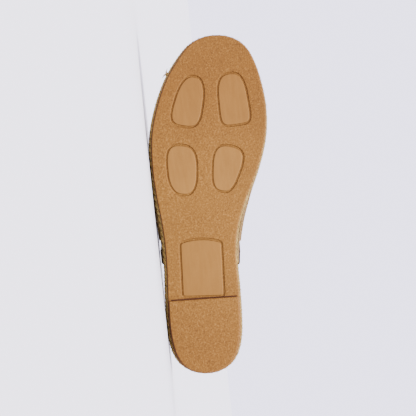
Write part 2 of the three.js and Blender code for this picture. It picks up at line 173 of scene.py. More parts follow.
@dataclass(frozen=True)
class Last:
    """The lengths that every layer of the shoe is worked out from, and its surfaces."""

    length: float = 252.0
    ball: float = 86.6
    heel_end: float = 31.0
    toe_end: float = 35.0
    rubber: float = 3.6
    inset_toe: float = 0.6
    inset_heel: float = 1.5
    inset_end: float = 0.1
    to_medial: float = 0.4
    heel_lift: float = 2.2
    breast: float = 55.8
    breast_slant: float = 0.07
    arch: float = 1.6
    flat_start: float = 131.0
    flat_end: float = 188.0
    spring: float = 8.0
    gap: float = 0.3
    jute_heel: float = 17.0
    jute_ball: float = 13.5
    jute_toe: float = 11.5
    hem: float = 6.0
    wall: float = 1.8
    instep: float = 50.0
    stem: float = 0.36
    toe_round: float = 36.0
    throat_side: float = 82.0
    throat_top: float = 141.0
    throat_sweep: float = 1.7
    flare: float = 2.0
    jute_thins: tuple = (68.0, 160.0)
    toe_curve: float = 1.8
    toe_reach: float = 1.05
    inset_blend: tuple = (0.5, 0.95)
    end_blend: tuple = (0.15, 0.6)
    seat_blend: tuple = (12.0, 4.0)
    plan: tuple = (
        (0.08, 0.3, 0.012), (0.17, 0.327, 0.0), (0.27, 0.323, -0.016), (0.36, 0.32, -0.034),
        (0.44, 0.346, -0.039), (0.52, 0.404, -0.027), (0.6, 0.464, 0.001), (0.7, 0.5, 0.032),
        (0.79, 0.475, 0.057), (0.87, 0.409, 0.075), (0.94, 0.309, 0.098),
    )
    axis_ends: tuple = (0.015, 0.112)
    sections: tuple = (
        (0.3, 1.24, 0.05, 2.1, 0.3, 0.3), (0.42, 1.16, 0.05, 2.1, 1.0, 0.6),
        (0.5, 1.08, 0.05, 2.1, 0.55, 0.45), (0.57, 0.98, 0.048, 2.15, -0.1, -0.1),
        (0.66, 0.81, 0.04, 2.25, -0.2, -0.2), (0.76, 0.65, 0.028, 2.35, -0.2, -0.2),
        (0.87, 0.53, 0.014, 2.4, -0.2, -0.2), (1.0, 0.45, 0.0, 2.4, -0.2, -0.2),
    )

    def plan_curve(self, column: str) -> Callable[[Array], Array]:
        """The curve of a column of the plan, with the ends that its end radii give.

        Args:
            column: "fullness", half-width over an ellipse's, or "axis", the middle's shift.

        Returns:
            The curve, by share of the length.
        """
        rows = np.array(self.plan)
        at = np.concatenate([[0.0], rows[:, 0], [1.0]])
        if column == "axis":
            return curve_through(at, np.concatenate([self.axis_ends[:1], rows[:, 2], self.axis_ends[1:]]))
        ends = [math.sqrt(radius * self.length / 2) for radius in (self.heel_end, self.toe_end)]
        full = rows[:, 1] * self.ball / (2 * np.sqrt(rows[:, 0] * (1 - rows[:, 0])))
        return curve_through(at, np.concatenate([ends[:1], full, ends[1:]]))

    def section_curve(self, column: int) -> Callable[[Array], Array]:
        """The curve of a column of the sections, by share of the length."""
        rows = np.array(self.sections)
        return curve_through(rows[:, 0], rows[:, column])

    def axis(self, x: Array) -> Array:
        """How far the middle of the sole lies to the medial side at x."""
        return self.plan_curve("axis")(x / self.length) * self.ball

    def outline(self, phi: Array, side: Array) -> Array:
        """The jute's outline: x = L (1 - cos phi) / 2, y = axis + side * fullness * sin phi.

        Args:
            phi: Station angle, 0 at the heel's back and pi at the toe.
            side: 1 on the medial side and -1 on the lateral.

        Returns:
            Points in the plan, (..., 2).
        """
        at = share_at(phi)
        half = self.plan_curve("fullness")(at) * np.sin(phi)
        return np.stack([at * self.length, self.axis(at * self.length) + side * half], axis=-1)

    def beside(self, phi: Array, side: Array, out: Out) -> Array:
        """The outline moved out along its own normal by a distance.

        Args:
            phi: Station angles.
            side: Sides, 1 or -1.
            out: The distance, or a function of phi and side that gives it.

        Returns:
            Points in the plan, (..., 2).
        """
        tangent = unit(self.outline(phi + TANGENT_STEP, side) - self.outline(phi - TANGENT_STEP, side))
        normal = np.stack([-tangent[..., 1], tangent[..., 0]], axis=-1) * np.asarray(side)[..., None]
        distance = out(phi, side) if callable(out) else np.broadcast_to(out, np.shape(phi))
        return self.outline(phi, side) + normal * np.asarray(distance)[..., None]

    def sheet_bottom(self, x: Array) -> Array:
        """The underside of the rubber: raised at the waist, flat at the ball, springing at the toe."""
        waist = np.clip((x - self.breast) / (self.flat_start - self.breast), 0, 1)
        toe = np.clip((x - self.flat_end) / (self.length - self.flat_end), 0, self.toe_reach)
        arch = self.arch * np.sin(np.pi * waist) ** 2
        return self.heel_lift * (1 - ramp(waist, 0, 1)) + arch + self.spring * toe**self.toe_curve

    def sheet_top(self, x: Array) -> Array:
        """The top of the rubber."""
        return self.sheet_bottom(x) + self.rubber

    def jute_bottom(self, x: Array) -> Array:
        """The underside of the jute."""
        return self.sheet_top(x) + self.gap

    def jute_thick(self, x: Array) -> Array:
        """The jute's thickness, less at the ball and least at the toe."""
        ball = self.jute_heel + (self.jute_ball - self.jute_heel) * ramp(x, *self.jute_thins)
        return ball + (self.jute_toe - self.jute_ball) * ramp(x, self.flat_end, self.length)

    def jute_top(self, x: Array) -> Array:
        """The top of the jute."""
        return self.jute_bottom(x) + self.jute_thick(x)

    def rubber_out(self, phi: Array, side: Array) -> Array:
        """How far the rubber's edge stands outside the jute, which is less than nothing."""
        to_toe = (self.inset_toe - self.inset_heel) * ramp(share_at(phi), *self.inset_blend)
        beside = self.inset_heel + to_toe - side * self.to_medial
        return -self.inset_end - (beside - self.inset_end) * ramp(np.sin(phi), *self.end_blend)

    def upper_out(self, phi: Array, side: Array) -> Array:
        """How far the foot of the upper stands outside the jute."""
        at = share_at(phi)
        medial = self.section_curve(4)(at)
        lateral = self.section_curve(5)(at)
        return np.where(np.asarray(side) > 0, medial, lateral) * self.flare

    def seat_out(self, phi: Array, side: Array) -> Array:
        """The jute's top edge, backing the hem in front and at its own outline behind the throat."""
        x = share_at(phi) * self.length
        behind = 1 - ramp(x, *(self.throat_side - ahead for ahead in self.seat_blend))
        backing = self.upper_out(phi, side) - self.wall - self.gap
        return backing + (-self.gap - backing) * behind

    def crest(self, at: Array) -> Array:
        """The height of the upper's crest over the jute, rounding down to a stem at the toe."""
        into = np.clip(1 - (1 - at) * self.length / self.toe_round, 0, 1)
        return self.section_curve(1)(at) * self.instep * (self.stem + (1 - self.stem) * np.sqrt(1 - into**2))

    def over(self, phi: Array, alpha: Array, drop: Array) -> Array:
        """The outer face of the upper: |cos|^n + |sin|^n = 1 across, scaled to the sole and the crest.

        Args:
            phi: Station angles.
            alpha: 0 at the foot of the medial wall, pi at the foot of the lateral wall.
            drop: How far below the foot of the wall, down the hem.

        Returns:
            Points, (..., 3), of the arguments' common shape.
        """
        phi, alpha, drop = np.broadcast_arrays(phi, alpha, drop)
        at = share_at(phi)
        x = at * self.length
        side = np.where(alpha < np.pi / 2, 1.0, -1.0)
        foot = self.beside(phi, side, self.upper_out)
        power = self.section_curve(3)(at)
        reach = superellipse(alpha, power)
        outward = np.abs(np.cos(alpha)) * reach
        upward = np.sin(alpha) * reach
        bend = self.section_curve(2)(at) * self.ball * upward**2
        along = x + (foot[..., 0] - x) * outward
        across = self.axis(x) + bend + (foot[..., 1] - self.axis(x)) * outward
        return np.stack([along, across, self.jute_top(along) + self.crest(at) * upward - drop], axis=-1)

    def phi_at(self, x: float) -> float:
        """The station angle at x."""
        return math.acos(1 - 2 * x / self.length)

    def lines(self, count: int) -> tuple[Array, Array]:
        """The lines over the upper from hem to hem: their angle over the foot, and how far down the hem."""
        down = np.linspace(self.hem, 0, HEM_LINES + 1)[:-1]
        even = np.linspace(0, np.pi, count)
        alpha = np.concatenate([np.zeros(HEM_LINES), even, np.full(HEM_LINES, np.pi)])
        return alpha, np.concatenate([down, np.zeros(count), down[::-1]])

    def throat(self, alpha: Array) -> Array:
        """The station angle of the throat's edge, swept forward over the instep by sin^k alpha."""
        x = self.throat_side + (self.throat_top - self.throat_side) * np.abs(np.sin(alpha)) ** self.throat_sweep
        return np.arccos(1 - 2 * x / self.length)

    def ring(self, half_stations: int, out: Out, height: Height) -> Array:
        """A closed ring round the sole, from the heel up the medial side and back down the lateral.

        Args:
            half_stations: Steps along each side.
            out: Distance outside the jute's outline.
            height: Height by x.

        Returns:
            Points, (2 * half_stations, 3).
        """
        come, side = there_and_back(np.arange(2 * half_stations), half_stations)
        flat = self.beside(np.pi * come / half_stations, side, out)
        return np.column_stack([flat, height(flat[:, 0])])


@dataclass(frozen=True)
class Resting:
    """Where the shoe's own frame lies in the row's: an origin and a turn with X, Y, Z as its columns."""

    origin: Array
    turn: Array

    @classmethod
    def of_record(cls, record: dict, heel_x: float = 28.0) -> "Resting":
        """Reads the frame off the two tread mounts, which lie on the shoe's own x axis.

        Args:
            record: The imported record.
            heel_x: The own x of the heel's mount, in millimetres.

        Returns:
            The resting place.
        """
        mounts = {mount["name"]: mount for mount in record["mounts"]}
        heel = np.array(mounts["tread_heel"]["pos_m"])
        ball = np.array(mounts["tread_forefoot"]["pos_m"])
        up = -unit(np.array(mounts["tread_heel"]["axis"]))
        along = ball - heel
        along = unit(along - up * (along @ up))
        return cls(heel - along * heel_x * MM, np.column_stack([along, np.cross(up, along), up]))

    def place(self, points: Array) -> Array:
        """Own millimetres to metres in the row's frame."""
        return self.origin + np.asarray(points) * MM @ self.turn.T

    def off_floor(self, path: Array, clear: float) -> Array:
        """Raises the points of a path that come nearer to the floor than a distance.

        Args:
            path: Points in own millimetres.
            clear: The least distance to the floor, in millimetres.

        Returns:
            The path, pressed back where the floor is.
        """
        short = np.maximum(clear - self.place(path)[:, 2] / MM, 0.0)
        return path + short[:, None] * self.turn[2]


@dataclass
class Skin:
    """A stretch of surface in own millimetres, with cloth coordinates for each face corner."""

    corners: Array
    faces: Array
    cloth: Array
    marks: dict[str, Array] = field(default_factory=dict)


def woven_grid(
    points: Array, round_u: bool = False, round_v: bool = False,
    lengths: tuple[float, float] = (1.0, 1.0), marks: Optional[dict[str, Array]] = None,
) -> Skin:
    """Four-sided faces between the neighbours of a grid of points.

    Args:
        points: The grid, (U, V, 3).
        round_u: Whether the last line of U meets the first.
        round_v: Whether the last line of V meets the first.
        lengths: The cloth's length along U and V, in millimetres.
        marks: Values of each point, (U, V), by name.

    Returns:
        The skin.
    """
    count_u, count_v = points.shape[:2]
    u, v = np.meshgrid(
        np.arange(count_u if round_u else count_u - 1), np.arange(count_v if round_v else count_v - 1),
        indexing="ij",
    )
    steps = np.array([[0, 0], [1, 0], [1, 1], [0, 1]])
    uu = u.ravel()[:, None] + steps[:, 0]
    vv = v.ravel()[:, None] + steps[:, 1]
    faces = (uu % count_u) * count_v + vv % count_v
    scale_u = lengths[0] / (count_u if round_u else count_u - 1)
    scale_v = lengths[1] / (count_v if round_v else count_v - 1)
    cloth = np.stack([uu * scale_u, vv * scale_v], axis=-1)
    flat = {name: np.broadcast_to(value, (count_u, count_v)).ravel() for name, value in (marks or {}).items()}
    return Skin(points.reshape(-1, 3), faces, cloth, flat)


def triangles(flat: Array, height: Array, faces: Array, marks: Optional[dict[str, Array]] = None) -> Skin:
    """A skin of triangles over points in the plan, each at its height, with no cloth coordinates."""
    return Skin(np.column_stack([flat, height]), faces, np.zeros((len(faces), 3, 2)), marks or {})


def plate(rim: Array, height: Height, spacing: float = LID_SPACING) -> Skin:
    """A plain filled face over a rim in the plan, at a height by x."""
    flat, faces = filled(rim, [], spacing)
    return triangles(flat, height(flat[:, 0]), faces)


def lid(ring: Array) -> Skin:
    """One face over a small closed ring of points."""
    count = len(ring)
    return Skin(ring, np.arange(count)[None, :], np.zeros((1, count, 2)))


def tube(path: Array, radius: Union[float, Array], around: int = 8, closed: bool = False,
         squash: float = 1.0, outward: Optional[Array] = None) -> list[Skin]:
    """A tube along a path: path + radius * (squash * cos a * side + sin a * up).

    Args:
        path: Points along the middle, (N, 3).
        radius: The radius, or one for each point.
        around: Faces round the tube.
        closed: Whether the path comes back to its start.
        squash: How thick the tube is along its side direction.
        outward: The side direction at each point, or None for any.

    Returns:
        The wall, and two lids on an open tube.
    """
    if closed:
        tangent = unit(np.roll(path, -1, 0) - np.roll(path, 1, 0))
    else:
        tangent = unit(np.gradient(path, axis=0))
    guide = np.broadcast_to([0.31, 0.52, 0.8], path.shape) if outward is None else outward
    side = unit(guide - tangent * (guide * tangent).sum(-1, keepdims=True))
    up = np.cross(tangent, side)
    angle = 2 * np.pi * np.arange(around) / around
    thick = np.broadcast_to(radius, len(path))[:, None, None]
    points = path[:, None] + thick * (
        squash * np.cos(angle)[None, :, None] * side[:, None] + np.sin(angle)[None, :, None] * up[:, None]
    )
    length = float(np.linalg.norm(np.diff(path, axis=0), axis=1).sum())
    girth = 2 * math.pi * float(np.mean(radius))
    wall = woven_grid(points, closed, True, (length, girth))
    return [wall] if closed else [wall, lid(points[0]), lid(points[-1])]


@dataclass
class Piece:
    """A visible piece: its skins joined into one closed mesh, dressed and hung on the shoe's body."""

    name: str
    skins: list[Skin]
    node: str
    slot: str
    replaces: bool = True

    def mesh(self, resting: Resting) -> bpy.types.Mesh:
        """One closed mesh from the skins, with their cloth coordinates and marks.

        Args:
            resting: Where the shoe lies.

        Returns:
            The mesh, in the row's metres.
        """
        starts = np.cumsum([0] + [len(skin.corners) for skin in self.skins])
        corners = resting.place(np.concatenate([skin.corners for skin in self.skins]))
        loops = np.concatenate([(skin.faces + s).ravel() for skin, s in zip(self.skins, starts)])
        sizes = np.concatenate([np.full(len(skin.faces), skin.faces.shape[1]) for skin in self.skins])
        cloth = np.concatenate([skin.cloth.reshape(-1, 2) for skin in self.skins])
        mesh = bpy.data.meshes.new(self.name)
        mesh.vertices.add(len(corners))
        mesh.vertices.foreach_set("co", corners.astype(np.float32).ravel())
        mesh.loops.add(len(loops))
        mesh.loops.foreach_set("vertex_index", loops.astype(np.int32))
        mesh.polygons.add(len(sizes))
        mesh.polygons.foreach_set("loop_start", np.concatenate([[0], np.cumsum(sizes)[:-1]]).astype(np.int32))
        mesh.update(calc_edges=True)
        mesh.uv_layers.new(name="cloth").data.foreach_set("uv", cloth.astype(np.float32).ravel())
        for mark in sorted({name for skin in self.skins for name in skin.marks}):
            values = np.concatenate([
                skin.marks.get(mark, np.zeros(len(skin.corners))) for skin in self.skins
            ])
            layer = mesh.attributes.new(name=mark, type="FLOAT", domain="POINT")
            layer.data.foreach_set("value", values.astype(np.float32))
        self.close(mesh)
        mesh.polygons.foreach_set("use_smooth", np.ones(len(mesh.polygons), dtype=bool))
        mesh.validate()
        return mesh

    def build(self, resting: Resting, finish: "Finish") -> None:
        """Makes the piece, dresses it and hangs it on the shoe's body.

        Args:
            resting: Where the shoe lies.
            finish: The finish to dress it with.
        """
        mesh = self.mesh(resting)
        piece = bpy.data.objects.new(self.name, mesh)
        bpy.context.scene.collection.objects.link(piece)
        mesh.materials.append(finish.material())
        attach(piece, "root")
        if self.replaces:
            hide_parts(self.node)
        log.info("%s: %d faces", self.name, len(mesh.polygons))

    @staticmethod
    def close(mesh: bpy.types.Mesh) -> None:
        """Merges the corners that meet and turns every face outward."""
        work = bmesh.new()
        work.from_mesh(mesh)
        bmesh.ops.remove_doubles(work, verts=work.verts, dist=WELD_M)
        bmesh.ops.recalc_face_normals(work, faces=work.faces)
        work.to_mesh(mesh)
        work.free()


class Signal:
    """A shader socket that takes part in arithmetic: an expression on it adds the Math nodes."""

    def __init__(self, bench: "Bench", socket: bpy.types.NodeSocket) -> None:
        """Wraps a socket of the bench's material."""
        self.bench = bench
        self.socket = socket

    def math(self, operation: str, other: Union["Signal", float, None] = None, first: bool = True) -> "Signal":
        """A Math node on this signal.

        Args:
            operation: The Math node's operation.
            other: The second value, if the operation has one.
            first: Whether this signal is the first of the two.

        Returns:
            The node's value.
        """
        pair = [self] if other is None else ([self, other] if first else [other, self])
        return self.bench.add("ShaderNodeMath", {"operation": operation}, dict(enumerate(pair)), 0)

    def __add__(self, other: Union["Signal", float]) -> "Signal":
        """self + other."""
        return self.math("ADD", other)

    def __radd__(self, other: float) -> "Signal":
        """other + self."""
        return self.math("ADD", other)

    def __sub__(self, other: Union["Signal", float]) -> "Signal":
        """self - other."""
        return self.math("SUBTRACT", other)

    def __rsub__(self, other: float) -> "Signal":
        """other - self."""
        return self.math("SUBTRACT", other, False)

    def __mul__(self, other: Union["Signal", float]) -> "Signal":
        """self * other."""
        return self.math("MULTIPLY", other)

    def step(self, start: float, end: float) -> "Signal":
        """A smooth step from 0 at start to 1 at end."""
        settings = {"interpolation_type": "SMOOTHSTEP"}
        sockets = {"Value": self, "From Min": start, "From Max": end}
        return self.bench.add("ShaderNodeMapRange", settings, sockets, "Result")


class Bench:
    """A material's node tree, with one method that adds any node."""

    def __init__(self, name: str) -> None:
        """Starts a material with nothing but its shader and output."""
        self.material = bpy.data.materials.new(name)
        self.material.use_nodes = True
        self.tree = self.material.node_tree
        self.shader = self.tree.nodes["Principled BSDF"]

    def set(self, socket: bpy.types.NodeSocket, value: object) -> None:
        """Links a signal to a socket, or writes a plain value on it."""
        if isinstance(value, Signal):
            self.tree.links.new(value.socket, socket)
        else:
            socket.default_value = value

    def add(self, kind: str, settings: dict, sockets: dict, result: Union[str, int]) -> Signal:
        """Adds a node.

        Args:
            kind: The node's type.
            settings: Its own settings, set first; "stops" gives a ramp's places and colours.
            sockets: Values or signals for its inputs, by name or number.
            result: The output to read.

        Returns:
            The output as a signal.
        """
        node = self.tree.nodes.new(kind)
        for name, value in settings.items():
            if name == "stops":
                ramp_stops = node.color_ramp.elements
                while len(ramp_stops) < len(value):
                    ramp_stops.new(0.5)
                for stop, (place, colour) in zip(ramp_stops, value):
                    stop.position = place
                    stop.color = colour
            else:
                setattr(node, name, value)
        for name, value in sockets.items():
            self.set(node.inputs[name], value)
        return Signal(self, node.outputs[result])

    def place(self, scale: tuple[float, float, float] = (1.0, 1.0, 1.0), turn: float = 0.0) -> Signal:
        """The object's own coordinates, in metres, stretched and turned about Y."""
        object_place = self.add("ShaderNodeTexCoord", {}, {}, "Object")
        sockets = {"Vector": object_place, "Scale": scale, "Rotation": (0.0, turn, 0.0)}
        return self.add("ShaderNodeMapping", {}, sockets, "Vector")

    def cloth(self) -> tuple[Signal, Signal]:
        """The two cloth coordinates, in millimetres."""
        where = self.add("ShaderNodeUVMap", {"uv_map": "cloth"}, {}, "UV")
        split = self.add("ShaderNodeSeparateXYZ", {}, {"Vector": where}, "X")
        return split, Signal(self, split.socket.node.outputs["Y"])

    def mark(self, name: str) -> Signal:
        """A named value of the mesh."""
        return self.add("ShaderNodeAttribute", {"attribute_name": name}, {}, "Fac")

    def noise(self, where: Signal, scale: float, detail: float = 2.0, rough: float = 0.5) -> Signal:
        """Smooth noise about 0.5.

        Args:
            where: The place it is read at.
            scale: Lumps in each unit of that place.
            detail: Octaves.
            rough: Share of the finer octaves.

        Returns:
            The noise's value.
        """
        sockets = {"Vector": where, "Scale": scale, "Detail": detail, "Roughness": rough}
        return self.add("ShaderNodeTexNoise", {}, sockets, "Fac")

    def blend(self, share: Union[Signal, float], low: object, high: object, how: str = "MIX") -> Signal:
        """A colour between two, or one laid on the other.

        Args:
            share: How much of high.
            low: The colour under it.
            high: The colour over it.
            how: The Mix node's blend type.

        Returns:
            The colour.
        """
        settings = {"data_type": "RGBA", "blend_type": how, "clamp_factor": True}
        return self.add("ShaderNodeMix", settings, {0: share, 6: low, 7: high}, 2)

    def bump(self, height: Signal, depth_mm: float, over: Optional[Signal] = None) -> Signal:
        """A normal tilted by a height from 0 to 1 that stands for depth_mm.

        Args:
            height: The height.
            depth_mm: What 1 stands for.
            over: A normal to start from.

        Returns:
            The normal.
        """
        sockets = {"Height": height, "Distance": depth_mm * MM, "Strength": 1.0}
        if over is not None:
            sockets["Normal"] = over
        return self.add("ShaderNodeBump", {}, sockets, "Normal")

    def vector(self, x: Signal, y: Signal) -> Signal:
        """A place in the plane from two signals."""
        return self.add("ShaderNodeCombineXYZ", {}, {"X": x, "Y": y}, "Vector")

    def dress(
        self, colour: Signal, roughness: Union[Signal, float], gloss: float, normal: Optional[Signal] = None,
    ) -> bpy.types.Material:
        """Sets the shader's sockets.

        Args:
            colour: The base colour.
            roughness: The roughness.
            gloss: How strongly it mirrors, 0.5 for most plastics.
            normal: The normal, or None for the mesh's own.

        Returns:
            The material.
        """
        sockets = {"Base Color": colour, "Roughness": roughness, "Specular IOR Level": gloss}
        if normal is not None:
            sockets["Normal"] = normal
        for name, value in sockets.items():
            self.set(self.shader.inputs[name], value)
        return self.material


def paint(red: float, green: float, blue: float) -> Colour:
    """A screen colour of 0 to 255 as linear light with full cover."""
    share = np.array([red, green, blue]) / 255
    light = np.where(share <= 0.04045, share / 12.92, ((share + 0.055) / 1.055) ** 2.4)
    return (float(light[0]), float(light[1]), float(light[2]), 1.0)


class Finish:
    """A finish: gives the material that a piece is dressed with."""

    def material(self) -> bpy.types.Material:
        """Builds the material."""
        raise NotImplementedError


@dataclass(frozen=True)
class TanRubber(Finish):
    """Moulded rubber: a fine pebble grain, with smooth, faintly streaked pads, and scuffs near both ends."""

    grained: Colour = paint(108, 72, 21)
    speckle: Colour = paint(137, 99, 45)
    pit: Colour = paint(72, 44, 11)
    smooth: Colour = paint(116, 80, 30)
    pale: Colour = paint(122, 86, 35)
    # Dark colour of the groove mark: painted shade at the groove feet, along the heel's breast and on walls
    # facing away from the light, with some dirt in the grooves.
    soil_and_shade: Colour = paint(54, 24, 6)
    # Painted highlight on the rims of groove walls that face the light.
    rim: Colour = paint(156, 113, 58)
    worn: Colour = (0.8, 0.73, 0.58, 1.0)
    lumps_per_metre: float = 850.0

    def material(self) -> bpy.types.Material:
        """Grain from two sizes of noise for colour and bump, faded out on the pads by the mesh's pad mark."""
        bench = Bench("tan_rubber")
        pad = bench.mark("pad").step(0.55, 0.95)
        place = bench.place()
        lump = bench.noise(place, self.lumps_per_metre, 2.0, 0.6)
        fine = bench.noise(place, self.lumps_per_metre * 2.3, 2.0, 0.6)
        patch = bench.noise(place, 30.0, 3.0, 0.55)
        streak = bench.noise(bench.place((55.0, 60.0, 400.0), 0.1), 1.0, 3.0, 0.6)
        grain = lump * 0.6 + fine * 0.4
        rough_side = bench.blend(grain.step(0.5, 0.66) * 0.8, self.grained, self.speckle)
        rough_side = bench.blend((1.0 - grain).step(0.52, 0.66) * 0.7, rough_side, self.pit)
        pad_side = bench.blend(streak.step(0.25, 0.75), self.smooth, self.pale)
        pad_side = bench.blend(grain.step(0.5, 0.7) * 0.25, pad_side, self.grained)
        colour = bench.blend(pad, rough_side, pad_side)
        colour = bench.blend(patch.step(0.35, 0.7) * 0.12, colour, self.pit)
        colour = bench.blend(bench.mark("panel").step(0.5, 1.0) * 0.3, colour, self.grained)
        colour = bench.blend(bench.mark("scuff"), colour, self.worn, "MULTIPLY")
        # Painted highlight on the rims of groove walls that face the light.
        colour = bench.blend(bench.mark("rim") * 0.4, colour, self.rim)
        # Painted shade from the groove mark, darkest where the mark is full.
        colour = bench.blend(bench.mark("groove").step(0.15, 0.9) * 0.95, colour, self.soil_and_shade)
        normal = bench.bump(grain * (1.0 - pad), 0.5)
        normal = bench.bump(streak * pad, 0.08, normal)
        return bench.dress(colour, 0.66 - pad * 0.12, 0.15, normal)


@dataclass(frozen=True)
class JuteFibre(Finish):
    """Dry jute yarn: twisted plies along each strand, with pale and dark fibres."""

    pale: Colour = paint(176, 150, 90)
    main: Colour = paint(146, 118, 62)
    dark: Colour = paint(86, 62, 27)
    twist_mm: float = 1.5
    slant: float = 2.2

    def material(self) -> bpy.types.Material:
        """Slanted twist lines on the cloth coordinates, over fibre noise stretched along the strand."""
        bench = Bench("jute_braid")
        along, around = bench.cloth()
        turn = 2 * math.pi / self.twist_mm
        ply = (along * (turn / self.slant) + around * turn).math("SINE") * 0.5 + 0.5
        fibre = bench.noise(bench.vector(along * 0.35 + around * 0.8, around * 6.0), 1.6, 4.0, 0.7)
        patch = bench.noise(bench.place(), 120.0, 3.0, 0.6)
        colour = bench.blend(fibre.step(0.32, 0.72), self.dark, self.pale)
        colour = bench.blend(0.5, colour, self.main)
        # Painted shade in the troughs between the twisted plies.
        colour = bench.blend((1.0 - ply).step(0.55, 1.0) * 0.6, colour, self.dark)
        colour = bench.blend(patch.step(0.45, 0.75) * 0.4, colour, self.pale)
        normal = bench.bump(ply, 0.35)
        normal = bench.bump(fibre, 0.25, normal)
        return bench.dress(colour, 0.95, 0.1, normal)


@dataclass(frozen=True)
class Canvas(Finish):
    """Plain-woven cotton canvas: over-and-under threads with slubs."""

    warp: Colour = paint(150, 124, 84)
    weft: Colour = paint(128, 103, 66)
    # The holes' colour: painted shade in the weave's holes, and also the tone of faint random patches.
    gap: Colour = paint(76, 56, 31)
    thread_mm: float = 0.62

    def material(self) -> bpy.types.Material:
        """A plain weave: 0.5 + 0.5 sin u sin v over and under, with a hole where |cos u cos v| nears 1."""
        bench = Bench("canvas")
        along, across = bench.cloth()
        turn = math.pi / self.thread_mm
        u = (along * turn).math("SINE")
        v = (across * turn).math("SINE")
        over = (u * v) * 0.5 + 0.5
        hole = ((along * turn).math("COSINE") * (across * turn).math("COSINE")).math("ABSOLUTE")
        slub = bench.noise(bench.vector(along, across * 0.06), 1.4, 3.0, 0.6)
        patch = bench.noise(bench.place(), 45.0, 3.0, 0.5)
        colour = bench.blend(over, self.weft, self.warp)
        # Painted shade in the holes between the threads.
        colour = bench.blend(hole.step(0.55, 1.0) * 0.55, colour, self.gap)
        colour = bench.blend(slub.step(0.55, 0.8) * 0.25, colour, self.warp)
        colour = bench.blend(patch.step(0.4, 0.7) * 0.16, colour, self.gap)
        normal = bench.bump(over - hole * 0.6, 0.16)
        normal = bench.bump(slub, 0.1, normal)
        return bench.dress(colour, 0.92, 0.12, normal)


@dataclass(frozen=True)
class Ribbon(Finish):
    """Ribbed ribbon: fine cords across its width and a flat selvedge."""

    # high and low: the ribs' crests and the painted shade between the ribs.
    high: Colour = paint(84, 64, 38)
    low: Colour = paint(40, 28, 15)
    faded: Colour = paint(92, 72, 44)
    rib_mm: float = 0.9

    def material(self) -> bpy.types.Material:
        """Ribs as 0.5 + 0.5 cos u along the ribbon."""
        bench = Bench("binding_ribbon")
        along, _ = bench.cloth()
        rib = (along * (2 * math.pi / self.rib_mm)).math("COSINE") * 0.5 + 0.5
        fibre = bench.noise(bench.place(), 2600.0, 2.0, 0.6)
        patch = bench.noise(bench.place(), 90.0, 2.0, 0.5)
        # Darker between the ribs as painted shade, mixed with fibre noise.
        colour = bench.blend(rib * 0.7 + fibre * 0.3, self.low, self.high)
        colour = bench.blend(patch.step(0.4, 0.7) * 0.2, colour, self.faded)
        normal = bench.bump(rib, 0.2)
        normal = bench.bump(fibre, 0.06, normal)
        return bench.dress(colour, 0.85, 0.12, normal)


@dataclass(frozen=True)
class SockLeather(Finish):
    """Thin natural leather: fine pores and slow colour changes."""

    main: Colour = paint(140, 104, 58)
    pale: Colour = paint(156, 121, 74)
    worn: Colour = paint(108, 74, 37)

    def material(self) -> bpy.types.Material:
        """Pores from small cells, with broad patches of a second tone."""
        bench = Bench("insole_lining")
        place = bench.place()
        pores = bench.add(
            "ShaderNodeTexVoronoi", {"feature": "DISTANCE_TO_EDGE"}, {"Vector": place, "Scale": 1300.0},
            "Distance",
        )
        patch = bench.noise(place, 35.0, 4.0, 0.6)
        fine = bench.noise(place, 700.0, 3.0, 0.6)
        colour = bench.blend(patch.step(0.35, 0.7), self.main, self.pale)
        colour = bench.blend(fine.step(0.55, 0.8) * 0.35, colour, self.worn)
        normal = bench.bump(pores.step(0.0, 0.12), 0.08)
        normal = bench.bump(patch, 0.4, normal)
        return bench.dress(colour, 0.55 + fine * 0.2, 0.25, normal)


@dataclass(frozen=True)
class Thread(Finish):
    """Waxed cotton thread: two plies twisted along its length."""

    name: str = "thread"
    light: Colour = paint(178, 156, 116)
    shade: Colour = paint(124, 98, 60)
    twist_mm: float = 1.1
    slant: float = 2.4

    def material(self) -> bpy.types.Material:
        """Twist lines slanted over the tube's cloth coordinates."""
        bench = Bench(self.name)
        along, around = bench.cloth()
        ply = (along * (2 * math.pi / self.twist_mm) + around * self.slant).math("SINE") * 0.5 + 0.5
        fine = bench.noise(bench.place(), 3000.0, 2.0, 0.6)
        colour = bench.blend(ply * 0.7 + fine * 0.3, self.shade, self.light)
        normal = bench.bump(ply, 0.15)
        return bench.dress(colour, 0.75, 0.3, normal)


@dataclass(frozen=True)
class StudioGround(Finish):
    """Smooth pale paper under the shoe."""

    tone: Colour = paint(194, 193, 197)
    shade: Colour = paint(190, 189, 191)

    def material(self) -> bpy.types.Material:
        """A faint unevenness in an otherwise plain sheet."""
        bench = Bench("studio_ground")
        patch = bench.noise(bench.place(), 3.0, 2.0, 0.5)
        colour = bench.blend(patch * 0.1, self.tone, self.shade)
        return bench.dress(colour, 0.85, 0.1)


@dataclass(frozen=True)
class Pad:
    """A smooth field of the tread: a superellipse, wider at one end, sheared and slanted.

    along, length: shares of the shoe's length; across, width: shares of the ball's width. front and back are
    the exponents of the two ends, lean shears it sideways, slope slants its ends, crown arches its front.
    """

    along: float
    across: float
    length: float
    width: float
    lean: float
    taper: float
    front: float
    back: float
    slope: float
    crown: float = 0.0

    def outline(self, last: Last, count: int, out: float = 0.0) -> Array:
        """Points round the field's groove, moved out by a distance along the outline's normal.

        Args:
            last: The shoe's sizes.
            count: How many points.
            out: The distance.

        Returns:
            Points in the plan, (count, 2), counterclockwise.
        """
        angle = 2 * np.pi * (np.arange(count * 4) + 0.5) / (count * 4)
        power = np.where(np.cos(angle) > 0, self.front, self.back)
        reach = superellipse(angle, power)
        forward = reach * np.cos(angle)
        aside = reach * np.sin(angle)
        arch = self.crown * (ramp(forward, 0, 1) * (1 - aside**2) - 0.5)
        x = forward * (self.length * last.length - self.crown) / 2 + arch
        y = aside * self.width * last.ball / 2 * (1 - self.taper * forward)
        loop = np.column_stack([
            self.along * last.length + x + self.slope * y, self.across * last.ball + y + self.lean * x,
        ])
        return moved_out(even_loop(loop, count), out)


